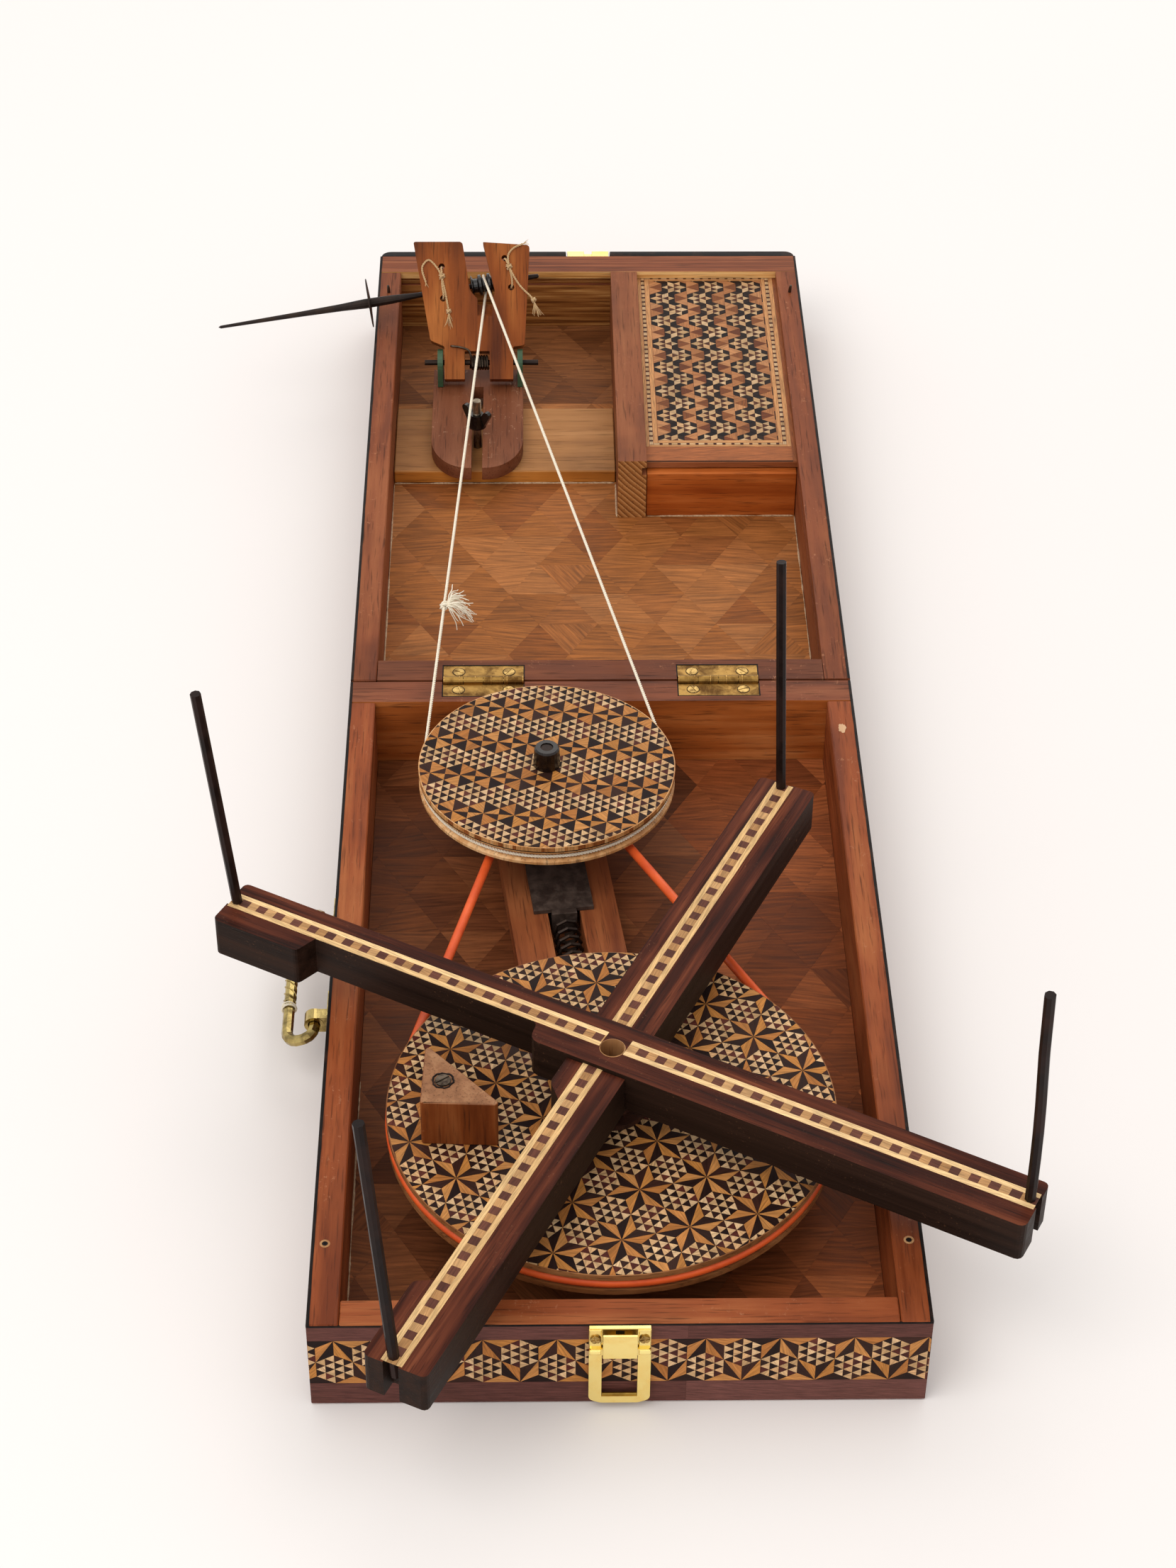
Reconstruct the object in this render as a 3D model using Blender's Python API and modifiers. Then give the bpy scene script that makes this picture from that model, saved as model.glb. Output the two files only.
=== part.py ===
"""Box charkha: a spinning wheel that folds into a briefcase, set up with its skein winder.

Two trays are hinged end to end. The base tray holds the large wheel, which a belt links to the small
wheel on its sprung carriage. A cotton cord runs from the small wheel over the hinge to the spindle,
which a tilting fork carries in the lid tray. The four-armed skein winder sits on the large wheel's axle.

Sizes are in millimetres and are turned into metres by `size` and `at`. Places are given from the centre
line (x), the hinge line (y, + towards the lid's far end) and the rim plane where the trays meet (z).
The model's origin is on the table under the middle of the base tray.
"""

import math

import bmesh
import bpy
from mathutils import Matrix, Vector

MM = 0.001
GAP = 0.3                      # clearance between pieces that touch

# ---- driving dimensions, in millimetres ----
TRAY_WIDTH = 255.0
TRAY_LENGTH = 426.0
TRAY_HEIGHT = 49.0
TRAY_DEPTH = 38.3              # from the rim down to the floor's upper face
SIDE_WALL = 13.0
FRONT_WALL = 13.5
HINGE_WALL = 16.4
END_WALL = 18.5
HINGE_SLIT = 0.8               # half the slit between the open trays

HINGE_SPANS = ((-80.5, -39.4), (39.4, 80.5))
LEAF_DEPTH = 12.7
LEAF_THICKNESS = 1.4
BARREL_R = 2.5
HINGE_PIN_R = 1.0
KNUCKLES = 4

LARGE_WHEEL = (-1.0, -305.0)
LARGE_WHEEL_R = 98.2
LARGE_WHEEL_TOP = 2.0
SMALL_WHEEL = (-28.0, -83.0)
SMALL_WHEEL_R = 62.6
SMALL_WHEEL_TOP = 12.5
BELT_LEVEL = -4.0
BELT_R = 2.2
BELT_ON_LARGE_R = 96.5
BELT_ON_PULLEY_R = 14.0
CORD_LEVEL = 6.0
CORD_R = 0.8
CORD_ON_WHEEL_R = 61.1
CORD_ON_PULLEY_R = 5.3
AXLE_R = 5.2

GUIDE_TOP = -27.0
GUIDE_WIDTH = 52.0
GUIDE_FROM = -38.0             # along the guide, counted from the small wheel's axis
GUIDE_TO = 140.0
GUIDE_SLOT = (10.0, 126.0)
GUIDE_SLOT_WIDTH = 15.6
CARRIAGE_TO = 64.5

ARM_THICKNESS = 20.0
UPPER_ARM_TOP = 36.6
LOWER_ARM_TOP = 34.6
LAP_LEVEL = 25.6
UPPER_ARM_TURN = -28.85        # degrees from +x
LOWER_ARM_TURN = 63.5
ARM_ENDS = {"upper": (-196.0, 194.5), "lower": (-193.5, 199.0)}
ARM_EDGES = {"upper": (-12.2, 15.2), "lower": (-12.0, 16.0)}
ARM_NARROW = {"upper": -1.4, "lower": 8.2}
INLAY_LINE = {"upper": 3.2, "lower": 3.6}
ROD_INSET = 4.0
ROD_R = 2.4
ROD_HEIGHT = 120.0             # above the arm's top
ROD_PIVOT_DEPTH = 8.0
ROD_SLOT_WIDTH = 6.8

BATTEN = (235.5, 302.0)
BATTEN_TOP = -30.0
HOLDER_X = -66.5
HOLDER_HALF = 26.5
HOLDER_TOP = -21.5
HOLDER_NOSE = 226.5
HOLDER_BACK = 331.0
BOLT_Y = 261.0
PIVOT_Y = 318.9
PIVOT_Z = -9.0
EAR_R = 7.9
FORK_TILT = 50.0               # degrees above the horizontal, leaning to the far end
FORK_THICKNESS = 11.0
SPINDLE_SLOPE = 9.1            # degrees, within the fork's plane
SPINDLE_LIFT = 47.5            # along the fork, from the pivot to the pulley's middle
SPINDLE_BEHIND = 7.9           # behind the fork's middle plane
PULLEY_X = 3.5                 # pulley's middle, from the fork's middle line

PARTITION = (13.5, 29.5)
PARTITION_END = 200.5
COVER_TOP = -5.0
COVER_THICKNESS = 4.0
COVER_END = 207.0

HANDLE_POSTS = (-226.0, -162.0)
HANDLE_PIVOT_X = -135.5
HANDLE_PIVOT_Z = -22.0
HANDLE_REACH = 14.0
HANDLE_DROOP = 25.0            # degrees below the horizontal
HANDLE_R = 2.7

LATCH_HALF = 12.7
LATCH_PIVOT_Z = -13.5

ORIGIN_Y = TRAY_LENGTH / 2 + HINGE_SLIT
RIM_Z = TRAY_HEIGHT


# ---- small tools ----
def at(x, y, z):
    """A place in metres, from millimetres off the centre line, hinge line and rim plane."""
    return Vector((x, y + ORIGIN_Y, z + RIM_Z)) * MM


def start():
    for old in list(bpy.data.objects):
        bpy.data.objects.remove(old, do_unlink=True)
    made = []
    for name in ("box_charkha", "cutters"):
        made.append(bpy.data.collections.new(name))
        bpy.context.scene.collection.children.link(made[-1])
    return made


PIECES, CUTTERS = start()


def finish(name, colour, roughness, metallic=0.0):
    made = bpy.data.materials.new(name)
    made.use_nodes = True
    shader = made.node_tree.nodes["Principled BSDF"]
    shader.inputs["Base Color"].default_value = (*colour, 1.0)
    shader.inputs["Roughness"].default_value = roughness
    shader.inputs["Metallic"].default_value = metallic
    return made


TEAK = finish("teak", (0.33, 0.11, 0.045), 0.45)
FLOOR_VENEER = finish("parquet", (0.24, 0.10, 0.04), 0.5)
ROSEWOOD = finish("rosewood", (0.07, 0.022, 0.018), 0.4)
MARQUETRY = finish("marquetry", (0.42, 0.24, 0.11), 0.4)
LIGHT_WOOD = finish("light_wood", (0.42, 0.23, 0.11), 0.45)
HOLDER_WOOD = finish("holder_wood", (0.16, 0.062, 0.045), 0.6)
FORK_WOOD = finish("fork_wood", (0.45, 0.17, 0.055), 0.4)
STEEL = finish("dark_steel", (0.06, 0.05, 0.055), 0.4, 0.9)
BOLT_STEEL = finish("bolt_steel", (0.5, 0.5, 0.5), 0.35, 1.0)
OLD_BRASS = finish("old_brass", (0.42, 0.33, 0.13), 0.4, 1.0)
NEW_BRASS = finish("bright_brass", (0.9, 0.68, 0.22), 0.2, 1.0)
GREEN = finish("green_paint", (0.09, 0.17, 0.12), 0.5)
BLACK = finish("black", (0.02, 0.017, 0.015), 0.4)
BELT = finish("belt_orange", (0.78, 0.16, 0.03), 0.45)
COTTON = finish("cotton", (0.8, 0.74, 0.62), 0.9)


def place(name, data, look, where=None, cutter=False):
    made = bpy.data.objects.new(name, data)
    (CUTTERS if cutter else PIECES).objects.link(made)
    if where is not None:
        made.matrix_world = where
    if cutter:
        made.hide_render = True
        made.display_type = "WIRE"
    else:
        data.materials.append(look)
    return made


def smooth(data, degrees=35):
    data.shade_smooth()
    data.set_sharp_from_angle(angle=math.radians(degrees))


def bevel(piece, width, segments=1):
    made = piece.modifiers.new("edges", "BEVEL")
    made.width = width * MM
    made.segments = segments
    made.limit_method = "ANGLE"
    made.angle_limit = math.radians(40)


def block(name, look, low, high, edge=0.0, where=None, cutter=False):
    """A box between two corners; `where` is the local frame that the corners are given in."""
    low, high = Vector(low) * MM, Vector(high) * MM
    data = bpy.data.meshes.new(name)
    shape = bmesh.new()
    bmesh.ops.create_cube(shape, size=1.0)
    bmesh.ops.scale(shape, vec=high - low, verts=shape.verts)
    shape.to_mesh(data)
    shape.free()
    base = Matrix.Translation(at(0, 0, 0)) if where is None else where
    made = place(name, data, look, base @ Matrix.Translation((low + high) / 2), cutter)
    if edge:
        bevel(made, edge)
    return made


def drum(name, look, radius, low, high, where, steps=24, cutter=False):
    """A cylinder along the local Z axis of `where`."""
    data = bpy.data.meshes.new(name)
    shape = bmesh.new()
    bmesh.ops.create_cone(shape, cap_ends=True, segments=steps, radius1=radius * MM,
                          radius2=radius * MM, depth=(high - low) * MM)
    bmesh.ops.translate(shape, vec=(0, 0, (high + low) / 2 * MM), verts=shape.verts)
    shape.to_mesh(data)
    shape.free()
    if not cutter:
        smooth(data)
    return place(name, data, look, where, cutter)


def turned(name, look, profile, where, steps=32):
    """A profile of (radius, height) pairs, outer side from top to bottom, turned about local Z.
    A profile that doesn't reach the axis is closed into a ring."""
    points = [Vector((r * MM, 0, z * MM)) for r, z in profile]
    ring = profile[0][0] > 0
    edges = [(i, i + 1) for i in range(len(points) - 1)] + ([(len(points) - 1, 0)] if ring else [])
    data = bpy.data.meshes.new(name)
    data.from_pydata(points, edges, [])
    made = place(name, data, look, where)
    spin = made.modifiers.new("turn", "SCREW")
    spin.steps = steps
    spin.render_steps = steps
    spin.use_merge_vertices = True
    spin.merge_threshold = 0.00001
    spin.use_normal_calculate = False
    return made


def flat(name, look, outline, low, high, where, holes=(), cutter=False):
    """A flat outline, with holes, made as thick as from low to high along the local Z of `where`."""
    data = bpy.data.curves.new(name, "CURVE")
    data.dimensions = "2D"
    data.fill_mode = "BOTH"
    data.extrude = (high - low) / 2 * MM
    for points in (outline, *holes):
        line = data.splines.new("POLY")
        line.points.add(len(points) - 1)
        for point, (x, y) in zip(line.points, points):
            point.co = (x * MM, y * MM, 0, 1)
        line.use_cyclic_u = True
    curve = place(name + "_outline", data, look,
                  where @ Matrix.Translation((0, 0, (high + low) / 2 * MM)))
    return meshed(name, curve, look, cutter)


def meshed(name, curve, look, cutter=False):
    """The curve's solid as a mesh object with its caps welded on; the curve is removed."""
    bpy.context.view_layer.update()
    frame = curve.matrix_world.copy()
    graph = bpy.context.evaluated_depsgraph_get()
    data = bpy.data.meshes.new_from_object(curve.evaluated_get(graph))
    data.name = name
    shape = bmesh.new()
    shape.from_mesh(data)
    bmesh.ops.remove_doubles(shape, verts=shape.verts, dist=0.000005)
    bmesh.ops.recalc_face_normals(shape, faces=shape.faces)
    shape.to_mesh(data)
    shape.free()
    data.materials.clear()
    bpy.data.objects.remove(curve, do_unlink=True)
    return place(name, data, look, frame, cutter)


def wire(name, look, points, radius, closed=False, sides=2, solid=False):
    """A round wire along world points, in metres."""
    data = bpy.data.curves.new(name, "CURVE")
    data.dimensions = "3D"
    data.bevel_depth = radius * MM
    data.bevel_resolution = sides
    data.use_fill_caps = not closed
    line = data.splines.new("POLY")
    line.points.add(len(points) - 1)
    for point, place_at in zip(line.points, points):
        point.co = (*place_at, 1)
    line.use_cyclic_u = closed
    made = place(name, data, look)
    return meshed(name, made, look) if solid else made


def boolean(piece, tool, operation="DIFFERENCE"):
    made = piece.modifiers.new(operation.lower(), "BOOLEAN")
    made.operation = operation
    made.object = tool


def rounded(corners, steps=5):
    """An outline from (x, y, radius) corners, each corner turned into an arc of its radius."""
    made = []
    count = len(corners)
    for i, (x, y, radius) in enumerate(corners):
        here = Vector((x, y))
        before = (Vector(corners[i - 1][:2]) - here).normalized()
        after = (Vector(corners[(i + 1) % count][:2]) - here).normalized()
        if radius <= 0:
            made.append(tuple(here))
            continue
        half = before.angle(after) / 2
        reach = radius / math.tan(half)
        centre = here + (before + after).normalized() * radius / math.sin(half)
        first, last = here + before * reach - centre, here + after * reach - centre
        turn = first.angle_signed(last)
        for k in range(steps + 1):
            made.append(tuple(centre + Matrix.Rotation(-turn * k / steps, 2) @ first))
    return made


def circle(radius, x=0.0, y=0.0, steps=16):
    return [(x + radius * math.cos(2 * math.pi * k / steps), y + radius * math.sin(2 * math.pi * k / steps))
            for k in range(steps)]


def upright(x, y, turn=0.0):
    """A local frame on the rim plane with its Z axis up, turned about it by degrees."""
    return Matrix.Translation(at(x, y, 0)) @ Matrix.Rotation(math.radians(turn), 4, "Z")


ALONG_X = Matrix.Rotation(math.radians(90), 4, "Y")
ALONG_Y = Matrix.Rotation(math.radians(-90), 4, "X")


# ---- trays ----
def trays():
    half, inner = TRAY_WIDTH / 2, TRAY_WIDTH / 2 - SIDE_WALL
    front, back = -HINGE_SLIT - TRAY_LENGTH, -HINGE_SLIT
    low = -TRAY_HEIGHT
    block("base_left_wall", TEAK, (-half, front, low), (-inner, back - HINGE_WALL - GAP, 0), 0.6)
    block("base_right_wall", TEAK, (inner, front, low), (half, back - HINGE_WALL - GAP, 0), 0.6)
    block("base_front_wall", TEAK, (GAP - inner, front, low), (inner - GAP, front + FRONT_WALL, 0), 0.6)
    hinge_wall = block("base_hinge_wall", TEAK, (-half, back - HINGE_WALL, low), (half, back, 0))
    block("base_floor", FLOOR_VENEER, (GAP - inner, front + FRONT_WALL + GAP, low),
          (inner - GAP, back - HINGE_WALL - GAP, -TRAY_DEPTH))
    hinge_recesses(hinge_wall, -1)

    near, far = HINGE_SLIT, HINGE_SLIT + TRAY_LENGTH
    block("lid_left_wall", TEAK, (-half, near, low), (-inner, far - END_WALL - GAP, 0), 0.6)
    right = block("lid_right_wall", TEAK, (inner, near, low), (half, far - END_WALL - GAP, 0))
    hinge_wall = block("lid_hinge_wall", TEAK, (GAP - inner, near, low), (inner - GAP, near + HINGE_WALL, 0))
    end = block("lid_end_wall", TEAK, (-half, far - END_WALL, low), (half, far, 0))
    block("lid_floor", FLOOR_VENEER, (GAP - inner, near + HINGE_WALL + GAP, low),
          (inner - GAP, far - END_WALL - GAP, -TRAY_DEPTH))
    hinge_recesses(hinge_wall, 1)
    cover_grooves(right, end)


def hinge_recesses(wall, side):
    for i, (left, right) in enumerate(HINGE_SPANS):
        for part, (reach, deep) in {"leaf": (LEAF_DEPTH + 0.5, 1.9), "barrel": (3.2, 3.2)}.items():
            ends = sorted((side * (HINGE_SLIT - 1), side * reach))
            tool = block(f"cut_{wall.name}_{part}_{i}", None, (left - 0.4, ends[0], -deep),
                         (right + 0.4, ends[1], 1), cutter=True)
            boolean(wall, tool)


def cover_grooves(right, end):
    """Grooves that the compartment's cover slides in: in the right wall, the end wall and the partition."""
    inner = TRAY_WIDTH / 2 - SIDE_WALL
    groove = (COVER_TOP - COVER_THICKNESS - 0.4, COVER_TOP + 0.4)
    far = HINGE_SLIT + TRAY_LENGTH - END_WALL
    boolean(right, block("cut_right_groove", None, (inner - 1, 30, groove[0]),
                         (inner + 2.6, far + 2, groove[1]), cutter=True))
    boolean(end, block("cut_end_groove", None, (-inner, far - 1, groove[0]),
                       (inner + 2.6, far + 2.6, groove[1]), cutter=True))
    partition = block("lid_partition", TEAK, (PARTITION[0], PARTITION_END, -TRAY_DEPTH + GAP),
                      (PARTITION[1], far - GAP, 0))
    boolean(partition, block("cut_partition_groove", None, (PARTITION[1] - 2.6, PARTITION_END - 2, groove[0]),
                             (PARTITION[1] + 1, far + 2, groove[1]), cutter=True))
    block("compartment_front_wall", TEAK, (PARTITION[1] + GAP, PARTITION_END + 1.5, -TRAY_DEPTH + GAP),
          (inner - GAP, PARTITION_END + 9.5, groove[0] - 0.1), 0.3)
    block("compartment_cover", MARQUETRY, (PARTITION[1] - 2.2, COVER_END, COVER_TOP - COVER_THICKNESS),
          (inner + 2.2, far + 2.2, COVER_TOP), 0.4)
    block("spindle_batten", LIGHT_WOOD, (GAP - inner, BATTEN[0], -TRAY_DEPTH + GAP),
          (PARTITION[0] - GAP, BATTEN[1], BATTEN_TOP), 0.6)


# ---- hinges ----
def hinges():
    for name, (left, right) in zip(("left", "right"), HINGE_SPANS):
        step = (right - left) / KNUCKLES
        for side, tray in ((-1, "base"), (1, "lid")):
            spans = [(left + k * step + 0.15, left + (k + 1) * step - 0.15)
                     for k in range(KNUCKLES) if (k % 2 == 0) == (side == 1)]
            leaf(f"{name}_hinge_{tray}_leaf", left, right, side, spans)
        drum(f"{name}_hinge_pin", OLD_BRASS, HINGE_PIN_R, left, right,
             Matrix.Translation(at(0, 0, 0)) @ ALONG_X, 16)


def leaf(name, left, right, side, spans):
    """One leaf: a plate in its recess, and a bored knuckle on each of its teeth."""
    ends = sorted((side * 2.9, side * LEAF_DEPTH))
    made = block(name, OLD_BRASS, (left, ends[0], -0.2 - LEAF_THICKNESS), (right, ends[1], -0.2))
    centre = Matrix.Translation(at(0, 0, 0)) @ ALONG_X
    for k, (start_x, end_x) in enumerate(spans):
        teeth = sorted((side * 1.6, side * 3.6))
        tooth = block(f"add_{name}_tooth_{k}", None, (start_x + 0.3, teeth[0], -0.1 - LEAF_THICKNESS),
                      (end_x - 0.3, teeth[1], -0.3), cutter=True)
        boolean(made, tooth, "UNION")
        boolean(made, drum(f"add_{name}_{k}", None, BARREL_R, start_x, end_x, centre, 16, True), "UNION")
    boolean(made, drum(f"cut_{name}", None, HINGE_PIN_R + 0.1, left - 2, right + 2, centre, 16, True))


# ---- wheels, belt and cord ----
def guide_frame():
    """Local frame on the small wheel's axis: X runs along the guide to the large wheel, Z is up."""
    run = Vector(LARGE_WHEEL) - Vector(SMALL_WHEEL)
    return upright(*SMALL_WHEEL, math.degrees(math.atan2(run.y, run.x)))


def carriage():
    frame = guide_frame()
    half, slot = GUIDE_WIDTH / 2, GUIDE_SLOT_WIDTH / 2
    outline = rounded([(GUIDE_FROM, -half, 2), (GUIDE_TO, -half, 2), (GUIDE_TO, half, 2), (GUIDE_FROM, half, 2)])
    hole = [(GUIDE_SLOT[0], -slot), (GUIDE_SLOT[1], -slot), (GUIDE_SLOT[1], slot), (GUIDE_SLOT[0], slot)]
    flat("tension_guide", TEAK, outline, -TRAY_DEPTH + GAP, GUIDE_TOP, frame, [hole])
    top = GUIDE_TOP + GAP + 2.0
    plate = block("carriage_plate", STEEL, (-27, -14.5, GUIDE_TOP + GAP), (CARRIAGE_TO, 14.5, top), where=frame)
    tab = block("add_carriage_tab", None, (CARRIAGE_TO - 3, -6, -35.5), (CARRIAGE_TO + 3.5, 6, top - 0.2),
                where=frame, cutter=True)
    boolean(plate, tab, "UNION")
    spring = (CARRIAGE_TO + 5.0, GUIDE_SLOT[1] - 1.6)
    coil("tension_spring", frame @ ALONG_X, spring, 5.9, 0.95, 10, (-TRAY_DEPTH + GUIDE_TOP) / 2 + 1.2)
    where = upright(*SMALL_WHEEL)
    drum("small_wheel_axle", BOLT_STEEL, 3.0, top + GAP, SMALL_WHEEL_TOP + 10.4, where, 16)
    turned("small_wheel_cap", BLACK, [(3.15, SMALL_WHEEL_TOP + 10.9), (5.4, SMALL_WHEEL_TOP + 10.9),
                                      (6.1, SMALL_WHEEL_TOP + 10.0), (6.7, SMALL_WHEEL_TOP + GAP),
                                      (3.15, SMALL_WHEEL_TOP + GAP)], where, 20)


def coil(name, frame, span, radius, wire_r, turns, level):
    """A coil spring along the local Z axis of `frame`, its middle at `level` on the local X axis."""
    count = turns * 8
    points = []
    for k in range(count + 1):
        angle = 2 * math.pi * turns * k / count
        along = span[0] + (span[1] - span[0]) * k / count
        points.append(frame @ (Vector((radius * math.cos(angle) - level, radius * math.sin(angle), along)) * MM))
    wire(name, STEEL, points, wire_r, sides=1)


def small_wheel():
    where = upright(*SMALL_WHEEL)
    top, rim = SMALL_WHEEL_TOP, SMALL_WHEEL_R
    turned("small_wheel", MARQUETRY, [(3.15, top), (rim, top), (rim, top - 3.6), (60.0, CORD_LEVEL + 1.3),
                                      (60.0, CORD_LEVEL - 1.3), (rim, top - 9.2), (rim, top - 10.6),
                                      (rim - 0.4, top - 11.0), (3.15, top - 11.0)], where, 72)
    rise = BELT_LEVEL + 5.2
    turned("small_wheel_pulley", LIGHT_WOOD,
           [(3.15, rise), (15.6, rise), (15.6, BELT_LEVEL + 3.6), (11.4, BELT_LEVEL + 2.6),
            (11.4, BELT_LEVEL - 2.6), (15.6, BELT_LEVEL - 3.6), (15.6, BELT_LEVEL - 6.0),
            (3.15, BELT_LEVEL - 6.0)], where, 32)


def large_wheel():
    where = upright(*LARGE_WHEEL)
    top, rim = LARGE_WHEEL_TOP, LARGE_WHEEL_R
    bore = AXLE_R + 0.15
    turned("large_wheel", MARQUETRY, [(bore, top), (rim, top), (rim, BELT_LEVEL + 3.0), (BELT_ON_LARGE_R - 2.5, BELT_LEVEL + 2.5),
                                      (BELT_ON_LARGE_R - 2.5, BELT_LEVEL - 2.5), (rim, BELT_LEVEL - 3.0),
                                      (rim, BELT_LEVEL - 5.6), (rim - 0.4, BELT_LEVEL - 6.0),
                                      (bore, BELT_LEVEL - 6.0)], where, 96)
    under = LOWER_ARM_TOP - ARM_THICKNESS - GAP
    turned("large_wheel_hub", BLACK, [(bore, under), (11, under), (11, top + 4), (16, top + 3),
                                      (16, top + GAP), (bore, top + GAP)], where, 24)
    turned("large_wheel_bearing", TEAK, [(bore, BELT_LEVEL - 6.4), (14, BELT_LEVEL - 6.4), (14, -29), (22, -30),
                                         (22, -TRAY_DEPTH + GAP), (bore, -TRAY_DEPTH + GAP)], where, 24)
    drum("large_wheel_axle", BOLT_STEEL, AXLE_R, -TRAY_DEPTH + GAP, 24.5, where, 24)
    crank = rounded([(-83.2, 0.2, 1.4), (-48.0, -1.4, 1.4), (-81.6, 35.8, 1.4)], 3)
    crank = [(x - LARGE_WHEEL[0], y - 328.0 - LARGE_WHEEL[1]) for x, y in crank]
    block_piece = flat("crank_block", FORK_WOOD, crank, top + GAP, top + 25.2, where)
    bevel(block_piece, 0.4)


def arc(centre, radius, first, last, steps):
    """Points on an arc about a centre, from one angle to another, in degrees."""
    for k in range(steps + 1):
        angle = math.radians(first + (last - first) * k / steps)
        yield Vector((centre[0] + radius * math.cos(angle), centre[1] + radius * math.sin(angle)))


def belt():
    """The open belt: round the front of the large wheel, and round the back of the small pulley."""
    run = Vector(SMALL_WHEEL) - Vector(LARGE_WHEEL)
    heading = math.degrees(math.atan2(run.y, run.x))
    lean = math.degrees(math.acos((BELT_ON_LARGE_R - BELT_ON_PULLEY_R) / run.length))
    line = list(arc(LARGE_WHEEL, BELT_ON_LARGE_R, heading + lean, heading - lean + 360, 40))
    line += list(arc(SMALL_WHEEL, BELT_ON_PULLEY_R, heading - lean, heading + lean, 12))
    wire("drive_belt", BELT, [at(p.x, p.y, BELT_LEVEL) for p in line], BELT_R, closed=True)


# ---- skein winder ----
def arm_frame(kind):
    return upright(*LARGE_WHEEL, UPPER_ARM_TURN if kind == "upper" else LOWER_ARM_TURN)


def arm(kind, top):
    """One winder arm. On its front half one side is cut away between the end's ear and the hub."""
    start_x, end_x = ARM_ENDS[kind]
    low, high = ARM_EDGES[kind]
    narrow = ARM_NARROW[kind]
    if kind == "upper":
        line = [(start_x, high, 2.5), (start_x, low, 2.5), (-152, low, 2.5), (-148.5, narrow, 0.5),
                (-36, narrow, 3), (-34, low, 5), (end_x, low, 3), (end_x, high, 2.5)]
    else:
        line = [(start_x, low, 2.5), (start_x, high, 2.5), (-152, high, 3), (-147.5, narrow, 0.5),
                (-36, narrow, 3), (-28, high, 5), (end_x, high, 2.5), (end_x, low, 2.5)]
    frame = arm_frame(kind)
    made = flat(f"winder_{kind}_arm", ROSEWOOD, rounded(line, 3), top - ARM_THICKNESS, top, frame,
                [circle(5.6)])
    for tag, end, way in (("a", start_x, 1), ("b", end_x, -1)):
        inset = sorted((end - way * 2, end + way * (ROD_INSET + ROD_R + 0.9)))
        mid = INLAY_LINE[kind]
        tool = block(f"cut_{kind}_slot_{tag}", None,
                     (inset[0], mid - ROD_SLOT_WIDTH / 2, top - ARM_THICKNESS - 1),
                     (inset[1], mid + ROD_SLOT_WIDTH / 2, top + 1), where=frame, cutter=True)
        boolean(made, tool)
    bevel(made, 0.5)
    return made


def winder():
    upper = arm("upper", UPPER_ARM_TOP)
    lower = arm("lower", LOWER_ARM_TOP)
    laps = (
        (upper, "lower", (LOWER_ARM_TOP - ARM_THICKNESS - 1, LAP_LEVEL + GAP)),
        (lower, "upper", (LAP_LEVEL, UPPER_ARM_TOP + 1)),
    )
    for piece, other, (low, high) in laps:
        edges = ARM_EDGES[other]
        tool = block(f"cut_lap_in_{piece.name}", None, (-28, edges[0] - GAP, low), (28, edges[1] + GAP, high),
                     where=arm_frame(other), cutter=True)
        boolean(piece, tool)
        piece.modifiers.move(len(piece.modifiers) - 1, len(piece.modifiers) - 2)
    rods()


def rods():
    """Four wire rods, each in its arm's end slot. Leans are degrees: outward, then along the arm's +y side."""
    plan = (
        ("left", "upper", -1, UPPER_ARM_TOP, 4.1, -2.7, 0.0),
        ("right", "upper", 1, UPPER_ARM_TOP, -0.6, -3.2, 2.6),
        ("front", "lower", -1, LOWER_ARM_TOP, -2.0, 6.0, 0.0),
        ("back", "lower", 1, LOWER_ARM_TOP, 6.2, 5.4, 0.0),
    )
    for name, kind, way, top, outward, sideways, bend in plan:
        frame = arm_frame(kind)
        end = ARM_ENDS[kind][0 if way < 0 else 1]
        foot = Vector((end - way * ROD_INSET, INLAY_LINE[kind], top - ROD_PIVOT_DEPTH))
        run = Vector((way * math.tan(math.radians(outward)), math.tan(math.radians(sideways)), 1.0)).normalized()
        length = ROD_HEIGHT + ROD_PIVOT_DEPTH
        points = []
        for share in (-2.0 / length, 0.0, 0.12, 0.24, 0.36, 0.5, 0.75, 1.0):
            bow = Vector((0, bend * math.sin(math.pi * min(max(share, 0.0) / 0.72, 1.0)), 0))
            points.append(frame @ ((foot + run * length * share + bow) * MM))
        wire(f"winder_{name}_rod", STEEL, points, ROD_R, sides=2)


# ---- spindle holder ----
def fork_frame():
    """Local frame on the fork's pivot: X to the right, Y up along the fork, Z out of its front face."""
    tilt = math.radians(FORK_TILT)
    up = Vector((0, math.cos(tilt), math.sin(tilt)))
    face = Vector((1, 0, 0)).cross(up) * 1.0
    spin = Matrix((Vector((1, 0, 0)), up, face)).transposed().to_4x4()
    return Matrix.Translation(at(HOLDER_X + 0.5, PIVOT_Y, PIVOT_Z)) @ spin


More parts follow.
